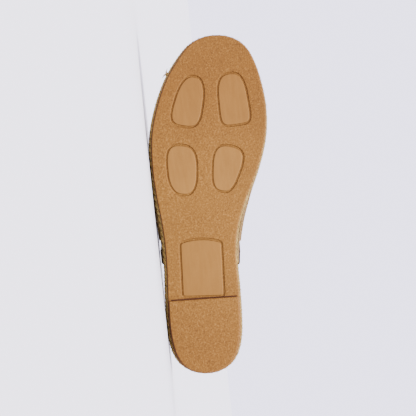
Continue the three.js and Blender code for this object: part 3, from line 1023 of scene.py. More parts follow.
def even_loop(loop: Array, count: int, soften: int = 0) -> Array:
    """A closed loop read again at even steps, with its corners softened.

    Args:
        loop: Points in the plan.
        count: How many points to give.
        soften: Rounds of averaging a point with its neighbours, 1 : 2 : 1.

    Returns:
        Points in the plan, (count, 2).
    """
    closed = np.vstack([loop, loop[:1]])
    run = run_along(closed)
    even = read_at(run[-1] * np.arange(count) / count, run, closed)
    for _ in range(soften):
        even = (np.roll(even, 1, 0) + 2 * even + np.roll(even, -1, 0)) / 4
    return even


def moved_out(loop: Array, out: float) -> Array:
    """A counterclockwise loop moved out along its normals."""
    tangent = unit(np.roll(loop, -1, 0) - np.roll(loop, 1, 0))
    return loop + out * np.column_stack([tangent[:, 1], -tangent[:, 0]])


def inside_loop(points: Array, loop: Array) -> Array:
    """Whether each point is inside a closed loop, by counting the edges to its right.

    Args:
        points: Points in the plan, (N, 2).
        loop: The loop, (M, 2).

    Returns:
        True for each point inside.
    """
    a = loop[None]
    b = np.roll(loop, -1, 0)[None]
    p = points[:, None]
    spans = (a[..., 1] > p[..., 1]) != (b[..., 1] > p[..., 1])
    rise = np.where(b[..., 1] == a[..., 1], 1e-9, b[..., 1] - a[..., 1])
    crossing = a[..., 0] + (p[..., 1] - a[..., 1]) * (b[..., 0] - a[..., 0]) / rise
    return (spans & (p[..., 0] < crossing)).sum(1) % 2 == 1


def filled(rim: Array, loops: list[Array], spacing: float) -> tuple[Array, Array]:
    """Triangles inside a rim, with every loop's edges kept and even points between them.

    Args:
        rim: The outer loop, in the plan.
        loops: Loops inside it.
        spacing: The distance between the even points.

    Returns:
        The points and the triangles.
    """
    low, high = rim.min(0), rim.max(0)
    x, y = np.meshgrid(np.arange(low[0], high[0], spacing), np.arange(low[1], high[1], spacing))
    y = y + np.where(np.arange(x.shape[1]) % 2, spacing / 2, 0.0)[None]
    even = np.column_stack([x.ravel(), y.ravel()])
    even = even[inside_loop(even, rim)]
    given = np.vstack([rim, *loops])
    near = ((even[:, None] - given[None]) ** 2).sum(-1).min(1)
    even = even[near > (KEPT_OFF * spacing) ** 2]
    edges, start = [], 0
    for loop in [rim, *loops]:
        index = np.arange(len(loop)) + start
        edges.append(np.column_stack([index, np.roll(index, -1)]))
        start += len(loop)
    points = np.vstack([given, even])
    result = geometry.delaunay_2d_cdt(
        [Vector(p) for p in points.tolist()], np.vstack(edges).tolist(), [], 0, FILL_TOLERANCE,
    )
    flat = np.array([tuple(v) for v in result[0]])
    faces = np.array([f for f in result[2] if len(f) == 3])
    return flat, faces[inside_loop(flat[faces].mean(1), rim)]


@dataclass
class Outsole:
    """The rubber: a moulded sheet with five outlined smooth fields, and the heel under it."""

    last: Last
    groove_depth: float = 0.9
    edge: float = 1.2
    lift_inset: float = 0.8
    pads: tuple = (
        Pad(0.802, -0.130, 0.148, 0.241, 0.215, 0.147, 2.518, 3.326, -0.156),
        Pad(0.809, 0.248, 0.153, 0.251, -0.137, 0.068, 2.792, 4.962, 0.141),
        Pad(0.6, -0.188, 0.147, 0.257, -0.045, -0.08, 2.772, 2.666, -0.064),
        Pad(0.604, 0.191, 0.134, 0.235, 0.2, -0.248, 2.747, 3.201, -0.21),
        Pad(0.312, -0.0165, 0.17, 0.358, -0.05, 0.0, 20.0, 20.0, 0.03, 2.6),
    )
    breast_line: float = 24.2
    stations: int = 280
    field_points: int = 170
    field_stations: int = 600
    heel_stations: int = 600
    heel_points: int = 420
    holding: float = 0.35
    heel_edge: float = 0.8
    # Painted shade on the side walls where they face the lateral side, away from the light.
    side_shade: float = 0.95
    breast_back: float = 0.6
    breast_edges: tuple = ((0.45, 0.0), (0.8, 0.25), (1.4, 0.5))
    # Painted shade: the section of the dark line just ahead of the heel's breast.
    breast_shade: tuple = ((-1.2, -0.6, 0.45, 0.8, 1.4), (0.0, 1.0, 1.0, 0.5, 0.0))
    # Painted highlight on the rims of groove walls that face the medial side, towards the light.
    lit_rim: tuple = ((0.5, 0.7, 0.84, 0.94), (0.0, 1.0, 1.0, 0.0))
    # How much less painted shade lies at the foot of a groove wall that faces the light.
    lit_wall_thinning: float = 0.9
    heel_shade: float = 0.9
    heel_centre: float = 30.0
    toe_scuff: tuple = (0.85, 135.0, 225.0)
    heel_scuff: tuple = (0.65, 5.0, 80.0)
    medial_scuff: tuple = (0.12, 25.0, 45.0)

    def groove_steps(self) -> Array:
        """The groove's section: distance out from its middle, shares of its depth, of the pad and of painted
        shade.
        """
        return np.array([
            (-1.2, 0.0, 1.0, 0.0), (-0.94, 0.03, 1.0, 0.1), (-0.84, 0.4, 0.95, 0.6), (-0.7, 0.97, 0.7, 1.0),
            (-0.52, 1.0, 0.5, 0.05), (0.52, 1.0, 0.4, 0.05), (0.7, 0.97, 0.2, 1.0), (0.84, 0.4, 0.0, 0.6),
            (0.94, 0.03, 0.0, 0.1), (1.2, 0.0, 0.0, 0.0),
        ])

    def breast_loops(self) -> list[Array]:
        """Narrow loops on the sheet along the heel's breast, which hold the edges of its line of painted shade.
        """
        y = np.linspace(-self.breast_line, self.breast_line, 60)
        x = self.last.breast + self.last.breast_slant * y
        loops = []
        for ahead, inside in self.breast_edges:
            reach = 1 + inside / self.breast_line
            front = np.column_stack([x + ahead, y * reach])
            back = np.column_stack([x - self.breast_back - inside, y * reach])
            loops.append(np.vstack([back, front[::-1]]))
        return loops

    def tread_marks(self, flat: Array) -> dict[str, Array]:
        """Depth, pad, panel, rim and painted shade of each point, read off its distance to the grooves and the
        breast.

        The groove mark is painted shade, with some dirt, thickest at the foot of a groove's wall and thinner the
        more that wall faces the medial side, where the light comes from; the rim mark is a painted highlight on
        such walls.
        The dark line ahead of the heel's breast and the heel's darkening towards the lateral side are painted
        shade.

        Args:
            flat: Points in the plan, (N, 2).

        Returns:
            The marks by name, (N,) each.
        """
        table = self.groove_steps()
        depth, pad_mark, soil_and_shade, rim = np.zeros((4, len(flat)))
        for pad in self.pads:
            outline = pad.outline(self.last, self.field_stations)
            tangent = unit(np.roll(outline, -1, 0) - np.roll(outline, 1, 0))
            near = ((flat > outline.min(0) - 2) & (flat < outline.max(0) + 2)).all(1)
            gap = flat[near][:, None] - outline[None]
            index = (gap**2).sum(-1).argmin(1)
            distance = np.linalg.norm(gap[np.arange(len(index)), index], axis=-1)
            inward = np.where(inside_loop(flat[near], outline), -1.0, 1.0)
            signed = distance * inward
            faces_medial = np.clip(tangent[index, 0] * inward, 0, 1)
            depth[near] = np.maximum(depth[near], np.interp(signed, table[:, 0], table[:, 1]))
            pad_mark[near] = np.maximum(pad_mark[near], np.interp(signed, table[:, 0], table[:, 2]))
            # Painted shade at the wall's foot, thinner where the wall faces the light, and a painted highlight
            # on that wall's rim.
            thin = np.interp(signed, table[:, 0], table[:, 3]) * (1 - self.lit_wall_thinning * faces_medial)
            rim_highlight = np.interp(distance, *self.lit_rim) * faces_medial
            rim[near] = np.maximum(rim[near], rim_highlight)
            soil_and_shade[near] = np.maximum(soil_and_shade[near], thin)
        ahead = flat[:, 0] - self.last.breast - self.last.breast_slant * flat[:, 1]
        # Painted shade: a dark line just ahead of the heel's breast.
        line = np.interp(ahead, *self.breast_shade)
        soil_and_shade = np.maximum(soil_and_shade, line * (np.abs(flat[:, 1]) <= self.breast_line + 0.3))
        # Painted shade on the heel, growing towards the lateral side, away from the light.
        on_heel = ahead < -self.breast_back
        soil_and_shade = np.maximum(soil_and_shade, self.heel_shade * on_heel * ramp(-flat[:, 1], 2, 20))
        panel = inside_loop(flat, self.pads[-1].outline(self.last, self.field_points, 0.3)) * pad_mark
        scuff = self.scuff(flat[:, 0], flat[:, 1])
        return {"depth": depth, "pad": pad_mark, "panel": panel, "groove": soil_and_shade, "rim": rim, "scuff": scuff}

    @staticmethod
    def shaded_side(loops: Array) -> Array:
        """How much the edge of each loop of points faces the lateral side, away from the light, where shade is
        painted.

        Args:
            loops: Closed loops in the plan, (K, N, 2), that run either way round.

        Returns:
            0 to 1 for each point, (K, N).
        """
        tangent = unit(np.roll(loops, -1, 1) - np.roll(loops, 1, 1))
        turn = np.sign((loops * np.roll(loops, -1, 1)[..., ::-1] * [1, -1]).sum((-1, -2)))
        return np.clip(tangent[..., 0] * turn[:, None], 0, 1)

    def scuff(self, x: Array, y: Array) -> Array:
        """Wear that darkens towards the toe and, less, towards the back of the heel and the medial edge."""
        toe, heel, medial = self.toe_scuff, self.heel_scuff, self.medial_scuff
        total = toe[0] * ramp(x, *toe[1:]) + heel[0] * (1 - ramp(x, *heel[1:]))
        return np.clip(total + medial[0] * ramp(y, *medial[1:]), 0, 1)

    def edge_levels(self) -> tuple[tuple[float, float], ...]:
        """A quarter round: distance in from the side, and height over the bottom, in edge radii."""
        angles = np.linspace(0, np.pi / 2, 6)
        return tuple((1 - math.cos(a), 1 - math.sin(a)) for a in angles)

    def rim(self, inward: float, height: Height) -> Array:
        """A ring of the sheet, a distance in from its side."""
        out = lambda phi, side: self.last.rubber_out(phi, side) - inward
        return self.last.ring(self.stations, out, height)

    def side_wall(self, rings: Array, above_edge: list[float]) -> Skin:
        """The skin between rings whose last ones round the lower edge, with its painted shade and scuffs.

        Args:
            rings: Closed rings from the top down, (K, N, 3).
            above_edge: How much painted shade the rings above the rounded edge carry.

        Returns:
            The wall.
        """
        # Painted shade on walls facing the lateral side, fading to nothing where the rounded edge meets the
        # tread.
        on_edge = [self.side_shade - self.side_shade * inward**2 for inward, _ in self.edge_levels()]
        side_shade = np.array(above_edge + on_edge)[:, None] * self.shaded_side(rings[:, :, :2])
        scuff = self.scuff(rings[..., 0], rings[..., 1])
        return woven_grid(rings, False, True, marks={"groove": side_shade, "scuff": scuff})

    def sheet(self) -> list[Skin]:
        """The sheet: a wall with a rounded lower edge, a filled tread with grooves, and a top."""
        last = self.last
        walls = [
            self.rim(2.5, last.sheet_top), self.rim(0.3, last.sheet_top),
            self.rim(0.0, lambda x: last.sheet_top(x) - 0.3),
        ]
        for inward, above in self.edge_levels():
            height = lambda x, k=above: last.sheet_bottom(x) + self.edge * k
            walls.append(self.rim(self.edge * inward, height))
        walls = np.stack(walls)
        skins = [self.side_wall(walls, [0.3, 0.3, 0.3])]
        inside = lambda p, s: last.rubber_out(p, s) - self.edge - self.holding
        holding = last.ring(self.stations, inside, last.sheet_bottom)
        loops = [holding[:, :2], *self.breast_loops()]
        for pad in self.pads:
            loops += [pad.outline(last, self.field_points, out) for out in self.groove_steps()[:, 0]]
        flat, faces = filled(walls[-1][:, :2], loops, TREAD_SPACING)
        marks = self.tread_marks(flat)
        height = last.sheet_bottom(flat[:, 0]) + marks.pop("depth") * self.groove_depth
        skins.append(triangles(flat, height, faces, marks))
        skins.append(plate(walls[0][:, :2], last.sheet_top))
        return skins

    def heel(self) -> list[Skin]:
        """The heel: the outline behind a slanting breast, with rounded edges, down to the ground."""
        last = self.last
        side = lambda phi, side: last.rubber_out(phi, side) - self.lift_inset
        ring = last.ring(self.heel_stations, side, last.sheet_top)[:, :2]
        line = last.breast + last.breast_slant * ring[:, 1]
        behind = ring[ring[:, 0] < line]
        order = np.argsort(np.arctan2(behind[:, 1], behind[:, 0] - self.heel_centre))
        loop = even_loop(behind[order], self.heel_points, 5)
        top = last.heel_lift + last.rubber * 0.4
        levels = [(0.0, top)]
        levels += [
            (inward * self.edge * self.heel_edge, above * self.edge * self.heel_edge)
            for inward, above in self.edge_levels()
        ]
        rings = np.stack([
            np.column_stack([moved_out(loop, -inward), np.full(self.heel_points, z)]) for inward, z in levels
        ])
        skins = [self.side_wall(rings, [self.side_shade])]
        holding = moved_out(loop, -self.edge * self.heel_edge - self.holding)
        flat, faces = filled(rings[-1][:, :2], [holding], TREAD_SPACING)
        marks = {"scuff": self.scuff(flat[:, 0], flat[:, 1])}
        skins.append(triangles(flat, np.zeros(len(flat)), faces, marks))
        skins.append(plate(loop, lambda x: np.full(np.shape(x), top)))
        return skins

    def build(self, resting: Resting) -> None:
        """Makes the sheet and the heel and dresses both in tan rubber."""
        rubber = TanRubber()
        Piece("tread_sheet", self.sheet(), "outsole", "tan_rubber").build(resting, rubber)
        Piece("tread_heel_lift", self.heel(), "outsole", "tan_rubber").build(resting, rubber)


@dataclass
class JuteSole:
    """The wound jute: a core, two plaits of three strands round its side, and loose fibres."""

    last: Last
    pitch: float = 15.5
    strand: float = 1.75
    sway: float = 0.8
    proud: float = 0.4
    sunk: float = 0.95
    full_row: float = 8.5
    stations: int = 1200
    steps_each_turn: int = 16
    around: int = 10
    upper_from: float = 92.0
    core_stations: int = 160
    core_edge: tuple = ((6.0, 0.0), (2.2, 0.0), (1.6, 0.8))
    core_cloth: tuple = (30.0, 620.0)
    hairs: int = 900
    hair_radii: tuple = (0.09, 0.08, 0.06, 0.03)
    hair_off_floor: float = 0.15
    bare_behind: float = 80.0
    hair_reach: tuple = (1.0, 3.4)
    hair_curl: float = 1.6
    split_blend: tuple = (60.0, 96.0)
    below_hem: float = 0.4

    def split(self, x: Array) -> Array:
        """The height where the upper plait begins: half-way at the heel, the hem's edge in front."""
        last = self.last
        half = last.jute_thick(x) / 2
        front = last.jute_thick(x) - last.hem - self.below_hem
        return last.jute_bottom(x) + half + (front - half) * ramp(x, *self.split_blend)

    def core(self) -> list[Skin]:
        """The body of the jute, a little inside the plaits."""
        last = self.last
        levels = [(depth, last.jute_bottom, rise) for depth, rise in self.core_edge]
        levels += [(depth, last.jute_top, -rise) for depth, rise in self.core_edge[::-1]]
        rings = []
        for depth, face, rise in levels:
            out = lambda p, s, k=depth: np.minimum(last.seat_out(p, s), 0) - k
            rings.append(last.ring(self.core_stations, out, lambda x, f=face, k=rise: f(x) + k))
        below = plate(rings[0][:, :2], last.jute_bottom)
        above = plate(rings[-1][:, :2], last.jute_top)
        return [woven_grid(np.stack(rings), False, True, self.core_cloth), below, above]

    def plait(self, row: Row, resting: Resting) -> list[Skin]:
        """Three strands: z = middle + A sin w, depth = B sin 2w, each a third of a turn behind the last.

        Args:
            row: Which plait.
            resting: Where the shoe lies, whose floor presses the strands under it back.

        Returns:
            The strands.
        """
        last = self.last
        base = last.ring(self.stations, 0.0, last.jute_bottom)[:, :2]
        run = run_along(base)
        total = run[-1] + np.linalg.norm(base[0] - base[-1])
        steps = round(total / self.pitch) * self.steps_each_turn
        whole = np.arange(2 * self.stations + 1.0)
        station = np.interp(np.arange(steps) * total / steps, np.append(run, total), whole)
        come, side = there_and_back(station, self.stations)
        phi = np.pi * come / self.stations
        x = last.outline(phi, side)[:, 0]
        split = self.split(x)
        if row is Row.LOWER:
            low, high = last.jute_bottom(x), split
            face = np.zeros(steps)
        else:
            low, high = split, last.jute_top(x)
            face = last.seat_out(phi, side)
        plump = (high - low) / self.full_row
        normal = unit(last.beside(phi, side, 1.0) - last.outline(phi, side))
        outward = np.column_stack([normal, np.zeros(steps)])
        skins = []
        for k in range(3):
            wave = 2 * np.pi * (np.arange(steps) / self.steps_each_turn + k / 3)
            thick = self.strand * np.clip(plump, 0.6, 1.0)
            depth = self.sway * np.sin(2 * wave)
            out = face + self.proud - thick * self.sunk - self.sway + depth
            flat = last.outline(phi, side) + normal * out[:, None]
            rise = (high - low) / 2 - thick
            path = np.column_stack([flat, (low + high) / 2 + rise * np.sin(wave)])
            path = resting.off_floor(path, self.strand)
            if row is Row.LOWER:
                skins += tube(path, thick, self.around, True, self.sunk, outward)
            else:
                ahead = x > self.upper_from
                start = int(np.argmax(ahead[: steps // 2]))
                end = steps - int(np.argmax(ahead[::-1][: steps // 2]))
                index = np.arange(end - 1, steps + start) % steps
                skins += tube(path[index], thick[index], self.around, False, self.sunk, outward[index])
        return skins

    def fuzz(self, resting: Resting) -> list[Skin]:
        """Loose fibres: fine bent hairs off the plaits, with those under the shoe pressed on by the floor."""
        last = self.last
        rng = np.random.default_rng(11)
        skins = []
        for _ in range(self.hairs):
            side = np.array([rng.choice([-1.0, 1.0])])
            phi = np.array([rng.uniform(0.05, np.pi - 0.05)])
            flat = last.outline(phi, side)
            normal = unit(last.beside(phi, side, 1.0) - flat)[0]
            along = np.array([-normal[1], normal[0]]) * rng.choice([-1.0, 1.0])
            x = flat[:, 0]
            top = (last.jute_top(x) if x[0] < self.bare_behind else self.split(x))[0]
            z = rng.uniform(last.jute_bottom(x)[0] + 0.3, top - 0.3)
            reach = rng.uniform(*self.hair_reach)
            t = np.linspace(0, 1, 4)[:, None]
            curl = rng.uniform(-self.hair_curl, self.hair_curl)
            path = np.column_stack([
                flat + normal * (-0.9 + t * reach * rng.uniform(0.25, 0.8)) + along * (t * reach),
                z + (t * curl * t)[:, 0],
            ])
            skins += tube(resting.off_floor(path, self.hair_off_floor), np.array(self.hair_radii), 3)
        return skins

    def build(self, resting: Resting) -> None:
        """Makes the core, the plaits and the loose fibres, in jute."""
        jute = JuteFibre()
        Piece("jute_core", self.core(), "midsole", "jute_braid").build(resting, jute)
        Piece("jute_plait_lower", self.plait(Row.LOWER, resting), "midsole", "jute_braid").build(resting, jute)
        Piece("jute_plait_upper", self.plait(Row.UPPER, resting), "midsole", "jute_braid").build(resting, jute)
        Piece("jute_loose_fibres", self.fuzz(resting), "midsole", "jute_braid").build(resting, jute)


@dataclass
class Insole:
    """The leather sock: a thin sheet with a rounded edge, stitched down near its edge."""

    last: Last
    thick: float = 1.6
    inset: float = 0.5
    stations: int = 220
    face_spacing: float = 4.0
    stitch_inset: float = 3.2
    stitch_pitch: float = 3.4
    stitch_length: float = 2.5
    stitched_to: float = 130.0

    def top(self, x: Array) -> Array:
        """The height of its upper face."""
        return self.last.jute_top(x) + self.last.gap + self.thick

    def sheet(self) -> list[Skin]:
        """Rings from the underside round the edge, then a filled upper face."""
        last = self.last
        out = lambda depth: (lambda p, s: last.seat_out(p, s) - self.inset - depth)
        below = lambda x: self.top(x) - self.thick
        rings = [last.ring(self.stations, out(depth), below) for depth in (6.0, 0.3)]
        for angle in np.linspace(-0.9, np.pi / 2, 6):
            depth = self.thick / 2 * (1 - math.cos(angle))
            rise = self.thick / 2 * (1 + math.sin(angle))
            rings.append(last.ring(self.stations, out(depth), lambda x, k=rise: below(x) + k))
        rings.append(last.ring(self.stations, out(self.thick / 2 + 0.5), self.top))
        face = plate(rings[-1][:, :2], self.top, self.face_spacing)
        return [woven_grid(np.stack(rings), False, True), plate(rings[0][:, :2], below), face]

    def stitches(self) -> list[Skin]:
        """A row of short stitches 3 mm in from the edge, round the open part of the sock."""
        last = self.last
        seam = lambda p, s: last.seat_out(p, s) - self.inset - self.stitch_inset
        ring = last.ring(900, seam, self.top)
        run = run_along(ring)
        skins = []
        for start in np.arange(1.0, run[-1] - 3.0, self.stitch_pitch):
            path = read_at(start + np.linspace(0, self.stitch_length, 6), run, ring)
            if path[0, 0] < self.stitched_to:
                path[:, 2] += 0.02 + 0.28 * swell(6, 0.5) - 0.15
                skins += tube(path, 0.26, 6)
        return skins

    def build(self, resting: Resting) -> None:
        """Makes the sock and its stitches."""
        Piece("insole_sock", self.sheet(), "insole", "insole_lining").build(resting, SockLeather())
        thread = Thread("sock_thread", paint(176, 150, 106), paint(122, 94, 56))
        Piece("insole_stitches", self.stitches(), "insole", "insole_lining", False).build(resting, thread)


@dataclass
class Vamp:
    """The canvas upper: one wall with turned edges, soft bends and a gathered toe."""

    last: Last
    across: int = 150
    along: int = 170
    bends: tuple = (
        (157.0, 0.22, 4.2, -1.5, 0.0), (168.0, -0.14, 3.6, -1.7, 12.0), (180.0, 0.12, 4.0, -1.3, -6.0),
        (162.5, 0.05, 3.6, 0.9, 4.0), (174.0, 0.0, 3.8, 0.8, 2.0), (150.0, -0.1, 4.5, -0.7, -14.0),
    )
    bend_reach: float = 26.0
    bends_fade: float = 24.0
    gather: float = 0.45
    gather_fade: float = 5.0
    gathered: tuple = (172.0, 205.0)
    toe_centre: float = 190.0
    wander: tuple = (2.0, 13.0)

    def relief(self, points: Array, height: Array) -> Array:
        """Soft troughs where the ball bends, and the fullness of the canvas drawn up at the toe's hem.

        Each trough is depth * exp(-(distance / width)^2), on a line across the vamp that its slant turns.

        Args:
            points: The outer face.
            height: Height of each point over the foot of the wall.

        Returns:
            How far each point moves out.
        """
        x, y = points[..., 0], points[..., 1]
        lift = np.clip(height / self.bends_fade, 0, 1)
        total = np.zeros(x.shape)
        for place, slant, width, depth, side in self.bends:
            bend = place + slant * (y - side) + self.wander[0] * np.sin(y / self.wander[1] + place)
            reach = np.exp(-(((y - side) / self.bend_reach) ** 2))
            total += depth * np.exp(-(((x - bend) / width) ** 2)) * lift * reach
        low = np.exp(-np.clip(height + 1.0, 0, None) / self.gather_fade)
        toe = ramp(x, *self.gathered)
        centre = np.arctan2(y - self.last.axis(np.array(self.toe_centre)), x - self.toe_centre)
        return total + self.gather * np.sin(centre * 44.0 + 1.3 * np.sin(centre * 9.0)) * low * toe

    def wall(self) -> list[Skin]:
        """The outer face, the same face moved in by the wall, and rounded edges between them."""
        last = self.last
        alpha, drop = last.lines(self.across)
        start = last.throat(alpha)[None]
        share = np.linspace(0, 1, self.along)[:, None]
        phi = start + (np.pi - start) * share
        points = last.over(phi, alpha[None], drop[None])
        normal = self.normals(points)
        height = points[..., 2] - last.jute_top(points[..., 0])
        outer = points + normal * self.relief(points, height)[..., None]
        inner = outer - normal * last.wall
        cord = np.linalg.norm(np.diff(points, axis=1), axis=-1).sum(1).max()
        run = np.linalg.norm(np.diff(points, axis=0), axis=-1).sum(0).max()
        span = (float(run), float(cord))
        skins = [woven_grid(outer, lengths=span), woven_grid(inner, lengths=span)]
        for a, b in ((outer[0], inner[0]), (outer[:, 0], inner[:, 0]), (outer[:, -1], inner[:, -1])):
            skins.append(self.turned_edge(a, b))
        return skins

    @staticmethod
    def turned_edge(outer: Array, inner: Array) -> Skin:
        """The strip that joins two edges, straight across."""
        steps = np.linspace(0, 1, 4)[None, :, None]
        return woven_grid(outer[:, None] * (1 - steps) + inner[:, None] * steps, lengths=(200.0, 1.8))

    @staticmethod
    def normals(points: Array) -> Array:
        """Outward normals of the grid, shared by the two sides where they meet at the toe."""
        forward = np.gradient(points, axis=0)
        aside = np.gradient(points, axis=1)
        normal = unit(np.cross(aside, forward))
        shared = unit(normal[-1] + normal[-1, ::-1])
        normal[-1] = shared
        return normal

    def build(self, resting: Resting) -> None:
        """Makes the vamp in canvas."""
        Piece("vamp_canvas", self.wall(), "upper", "canvas").build(resting, Canvas())


@dataclass
class Binding:
    """The ribbon folded over the throat's edge, with its row of stitches."""

    last: Last
    width: float = 9.5
    thick: float = 0.6
    across: int = 150
    stitch_lines: int = 600
    stitch_from_edge: float = 8.1
    stitch_out: float = 0.94
    stitch_pitch: float = 2.9
    stitch_length: float = 2.1

    def frame(self, alpha: Array, drop: Array, forward: Array) -> tuple[Array, Array, Array]:
        """Points on the vamp a distance ahead of the throat's edge, with the way forward and the normal.

        Args:
            alpha: The lines' angles.
            drop: The lines' places down the hem.
            forward: Distances ahead of the edge, (K,).

        Returns:
            Points, forward directions and outward normals, each (lines, K, 3).
        """
        last = self.last
        start, step = last.throat(alpha), 1e-3
        speed = np.linalg.norm(last.over(start + step, alpha, drop) - last.over(start, alpha, drop), axis=-1)
        phi = start[:, None] + np.clip(forward, 0, None)[None] / (speed / step)[:, None]
        points = last.over(phi, alpha[:, None], drop[:, None])
        ahead = unit(last.over(phi + step, alpha[:, None], drop[:, None]) - points)
        aside = unit(np.gradient(points, axis=0))
        points = points + ahead * np.clip(forward, None, 0)[None, :, None]
        return points, ahead, unit(np.cross(aside, ahead))

    def ribbon(self) -> list[Skin]:
        """A U-shaped strip with thickness: its outer face out over the fold and back inside."""
        last = self.last
        wall = last.wall
        path = np.array([
            (9.5, 0.55), (9.2, 0.62), (7.0, 0.62), (4.5, 0.62), (2.5, 0.62), (1.0, 0.6), (0.0, 0.5),
            (-0.6, 0.15), (-0.95, -0.5), (-1.0, -wall / 2), (-0.95, -wall + 0.5), (-0.6, -wall - 0.15),
            (0.0, -wall - 0.5), (1.5, -wall - 0.6), (4.0, -wall - 0.62), (7.0, -wall - 0.62), (9.2, -wall - 0.6),
        ])
        tangent = unit(np.gradient(path, axis=0))
        side = np.column_stack([tangent[:, 1], -tangent[:, 0]]) * self.thick / 2
        profile = np.vstack([path - side, (path + side)[::-1]])
        alpha, drop = last.lines(self.across)
        points, _, normal = self.frame(alpha, drop, profile[:, 0])
        surface = points + normal * profile[None, :, 1:2]
        length = float(np.linalg.norm(np.diff(surface[:, 8], axis=0), axis=1).sum())
        return [woven_grid(surface, False, True, (length, 2 * self.width)), lid(surface[0]), lid(surface[-1])]

    def stitches(self) -> list[Skin]:
        """Short stitches along the ribbon's forward edge, sunk a little at both ends."""
        alpha, drop = self.last.lines(self.stitch_lines)
        points, _, normal = self.frame(alpha, drop, np.array([self.stitch_from_edge]))
        line = points[:, 0] + normal[:, 0] * self.stitch_out
        run = run_along(line)
        skins = []
        for start in np.arange(0.6, run[-1] - 2.6, self.stitch_pitch):
            at = start + np.linspace(0, self.stitch_length, 6)
            path = read_at(at, run, line)
            path += read_at(at, run, normal[:, 0]) * (0.22 * swell(6, 0.6) - 0.16)[:, None]
            skins += tube(path, 0.2, 6)
        return skins

    def build(self, resting: Resting) -> None:
        """Makes the ribbon and its stitches."""
        Piece("throat_ribbon", self.ribbon(), "topline_binding", "binding_ribbon").build(resting, Ribbon())
        thread = Thread("ribbon_thread", paint(84, 68, 48), paint(44, 33, 22), 0.8)
        stitching = Piece("ribbon_stitches", self.stitches(), "topline_binding", "binding_ribbon", False)
        stitching.build(resting, thread)


@dataclass
class HemSeam:
    """The blanket stitch that holds the canvas's hem to the jute, and the knot where it was tied off."""

    last: Last
    pitch: float = 6.5
    thread: float = 0.5
    begins: float = 96.0
    off_floor: float = 0.6
    bite_ahead: tuple = (0.5, 0.5, 0.48, 0.46, 0.45, 0.45)
    bite_drop: tuple = (1.4, 1.6, 3.4, 5.6, 6.9, 8.3)
    bite_out: tuple = (-0.3, 0.35, 0.5, 0.5, 0.15, -1.2)
    tied_off_at: float = 222.5
    knot_up: float = 3.0
    knot_size: float = 0.9
    knot_thick: float = 0.62
    ends: tuple = ((-1.5, 2.6, -0.8), (-0.7, 2.9, 0.6), (0.6, 2.7, -0.2), (1.4, 2.8, 1.0))
    end_radii: tuple = (0.42, 0.16)

    def station_line(self) -> tuple[Array, Array]:
        """Even stations along the hem from the medial throat round the toe to the lateral throat."""
        start = self.last.phi_at(self.begins)
        walk = np.linspace(start, 2 * np.pi - start, 4000)
        phi, side = there_and_back(walk, np.pi)
        return walk, self.last.beside(phi, side, self.last.upper_out)

    def on_canvas(self, walk: Array, drop: Array, out: Array) -> Array:
        """Points on the hem by angle round the sole, a distance down it and a distance out from it."""
        last = self.last
        phi, side = there_and_back(walk, np.pi)
        flat = last.beside(phi, side, lambda p, s: last.upper_out(p, s) + out)
        return np.column_stack([flat, last.jute_top(flat[:, 0]) - drop])

    def stitches(self, resting: Resting) -> list[Skin]:
        """Each stitch: up from the jute over the hem's edge to a bite in the canvas, then along to the next."""
        walk, flat = self.station_line()
        run = run_along(flat)
        count = int(run[-1] / self.pitch)
        step = run[-1] / count
        bite = (np.array(self.bite_ahead), np.array(self.bite_drop), np.array(self.bite_out))
        along = (np.linspace(0.5, 1.5, 8), 1.5 + 0.5 * swell(8), np.full(8, 0.42))
        skins = []
        for k in range(count):
            for share, drop, out in (bite, along):
                at = k * step + step * share
                if at[-1] <= run[-1]:
                    line = self.on_canvas(np.interp(at, run, walk), drop, out)
                    skins += tube(resting.off_floor(line, self.off_floor), self.thread, 6)
        return skins

    def tuft(self) -> list[Skin]:
        """The tied-off end near the little toe: a knot and four short frayed ends."""
        last = self.last
        phi = np.full(1, last.phi_at(self.tied_off_at))
        side = np.full(1, -1.0)
        root = last.beside(phi, side, 0.2)[0]
        normal = unit(last.beside(phi, side, 1.0) - last.beside(phi, side, 0.0))[0]
        along = np.array([-normal[1], normal[0]])
        z = float(last.jute_bottom(root[:1])[0]) + self.knot_up

        def placed(ahead: Array, out: Array, up: Array) -> Array:
            """Points by their distances along the outline, out from it and up from the knot."""
            return np.column_stack([root + np.outer(ahead, along) + np.outer(out, normal), z + up])

        ring = np.linspace(0, 2 * np.pi, 14)[:-1]
        size = self.knot_size
        knot = placed(size * np.cos(ring), 0.7 + 0.25 * np.sin(2 * ring), size * np.sin(ring))
        skins = tube(knot, self.knot_thick, 8, True)
        t = np.linspace(0, 1, 7)
        for turn, reach, rise in self.ends:
            path = placed(reach * turn * t**1.5, 0.6 + reach * t * 0.5, rise * t**2)
            skins += tube(path, np.linspace(*self.end_radii, 7), 6)
        return skins

    def build(self, resting: Resting) -> None:
        """Makes the seam and its tied-off end."""
        thread = Thread("hem_thread", paint(152, 124, 76), paint(104, 78, 42), 1.2)
        Piece("hem_stitches", self.stitches(resting), "upper", "jute_braid", False).build(resting, thread)
        Piece("hem_thread_end", self.tuft(), "upper", "jute_braid", False).build(resting, thread)


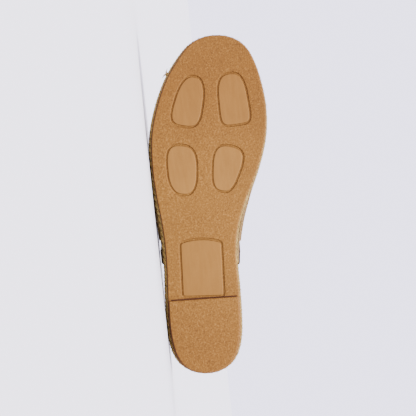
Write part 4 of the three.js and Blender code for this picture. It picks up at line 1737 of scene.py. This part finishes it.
@dataclass
class Studio:
    """The pale floor, the soft lights and the camera square on to the tread."""

    resting: Resting
    middle: tuple = (123.0, 3.0)
    mm_per_pixel: float = 0.7415
    distance: float = 2.0
    floor_reach: float = 14.0
    sensor_mm: float = 36.0
    room_colour: Colour = (0.8, 0.77, 1.0, 1.0)
    room_strength: float = 3.55
    lights: tuple = (
        ("key_above_front", (0.12, -0.5, 0.87), 9.0, 24.0, (1.0, 0.98, 0.94)),
        ("rake_from_behind", (-0.72, 0.55, 0.42), 5.0, 16.0, (1.0, 0.97, 0.92)),
    )

    def floor(self) -> None:
        """A wide pale sheet under the shoe."""
        mesh = bpy.data.meshes.new("studio_floor")
        side = self.floor_reach
        corners = [(-side, -side, 0), (side, -side, 0), (side, side, 0), (-side, side, 0)]
        mesh.from_pydata(corners, [], [(0, 1, 2, 3)])
        floor = bpy.data.objects.new("studio_floor", mesh)
        mesh.materials.append(StudioGround().material())
        bpy.context.scene.collection.objects.link(floor)

    def daylight(self, name: str, towards: tuple, strength: float, softness: float, tint: tuple) -> None:
        """A wide soft light from far away.

        Args:
            name: The light's name.
            towards: The way to the light.
            strength: In watts for each square metre.
            softness: How wide it looks, in degrees.
            tint: Its colour.
        """
        light = bpy.data.lights.new(name, "SUN")
        light.energy = strength
        light.angle = math.radians(softness)
        light.color = tint
        lamp = bpy.data.objects.new(name, light)
        lamp.matrix_world = Vector(towards).to_track_quat("Z", "Y").to_matrix().to_4x4()
        bpy.context.scene.collection.objects.link(lamp)

    def camera(self) -> None:
        """Looks up the shoe's own z axis with the toe up, so the photograph's frame is filled alike."""
        data = bpy.data.cameras.new("square_on")
        data.sensor_width = self.sensor_mm
        data.sensor_fit = "HORIZONTAL"
        half = PHOTO_SIDE * self.mm_per_pixel * MM / 2
        data.lens = self.sensor_mm / 2 * self.distance / half
        data.clip_end = 60.0
        camera = bpy.data.objects.new("square_on", data)
        along, aside, up = (Vector(column) for column in self.resting.turn.T)
        aim = Vector(self.resting.place(np.array([*self.middle, 0.0])))
        turn = Matrix((aside, along, -up)).transposed().to_4x4()
        camera.matrix_world = Matrix.Translation(aim - up * self.distance) @ turn
        bpy.context.scene.collection.objects.link(camera)
        bpy.context.scene.camera = camera

    def surroundings(self) -> None:
        """A pale room all round, as soft fill."""
        world = bpy.data.worlds.new("pale_room")
        world.use_nodes = True
        back = world.node_tree.nodes["Background"]
        back.inputs["Color"].default_value = self.room_colour
        back.inputs["Strength"].default_value = self.room_strength
        bpy.context.scene.world = world

    def build(self) -> None:
        """Sets the camera first, then the floor and the lights."""
        self.camera()
        self.floor()
        self.surroundings()
        for light in self.lights:
            self.daylight(*light)


def main() -> None:
    """Loads the frame, sets up the studio and builds the shoe piece by piece."""
    logging.basicConfig(level=logging.INFO, format="%(name)s %(message)s")
    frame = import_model()
    resting = Resting.of_record(frame["record"])
    Studio(resting).build()
    last = Last()
    for part in (Outsole(last), JuteSole(last), Insole(last), Vamp(last), Binding(last), HemSeam(last)):
        part.build(resting)
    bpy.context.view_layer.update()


if __name__ == "__main__":
    main()
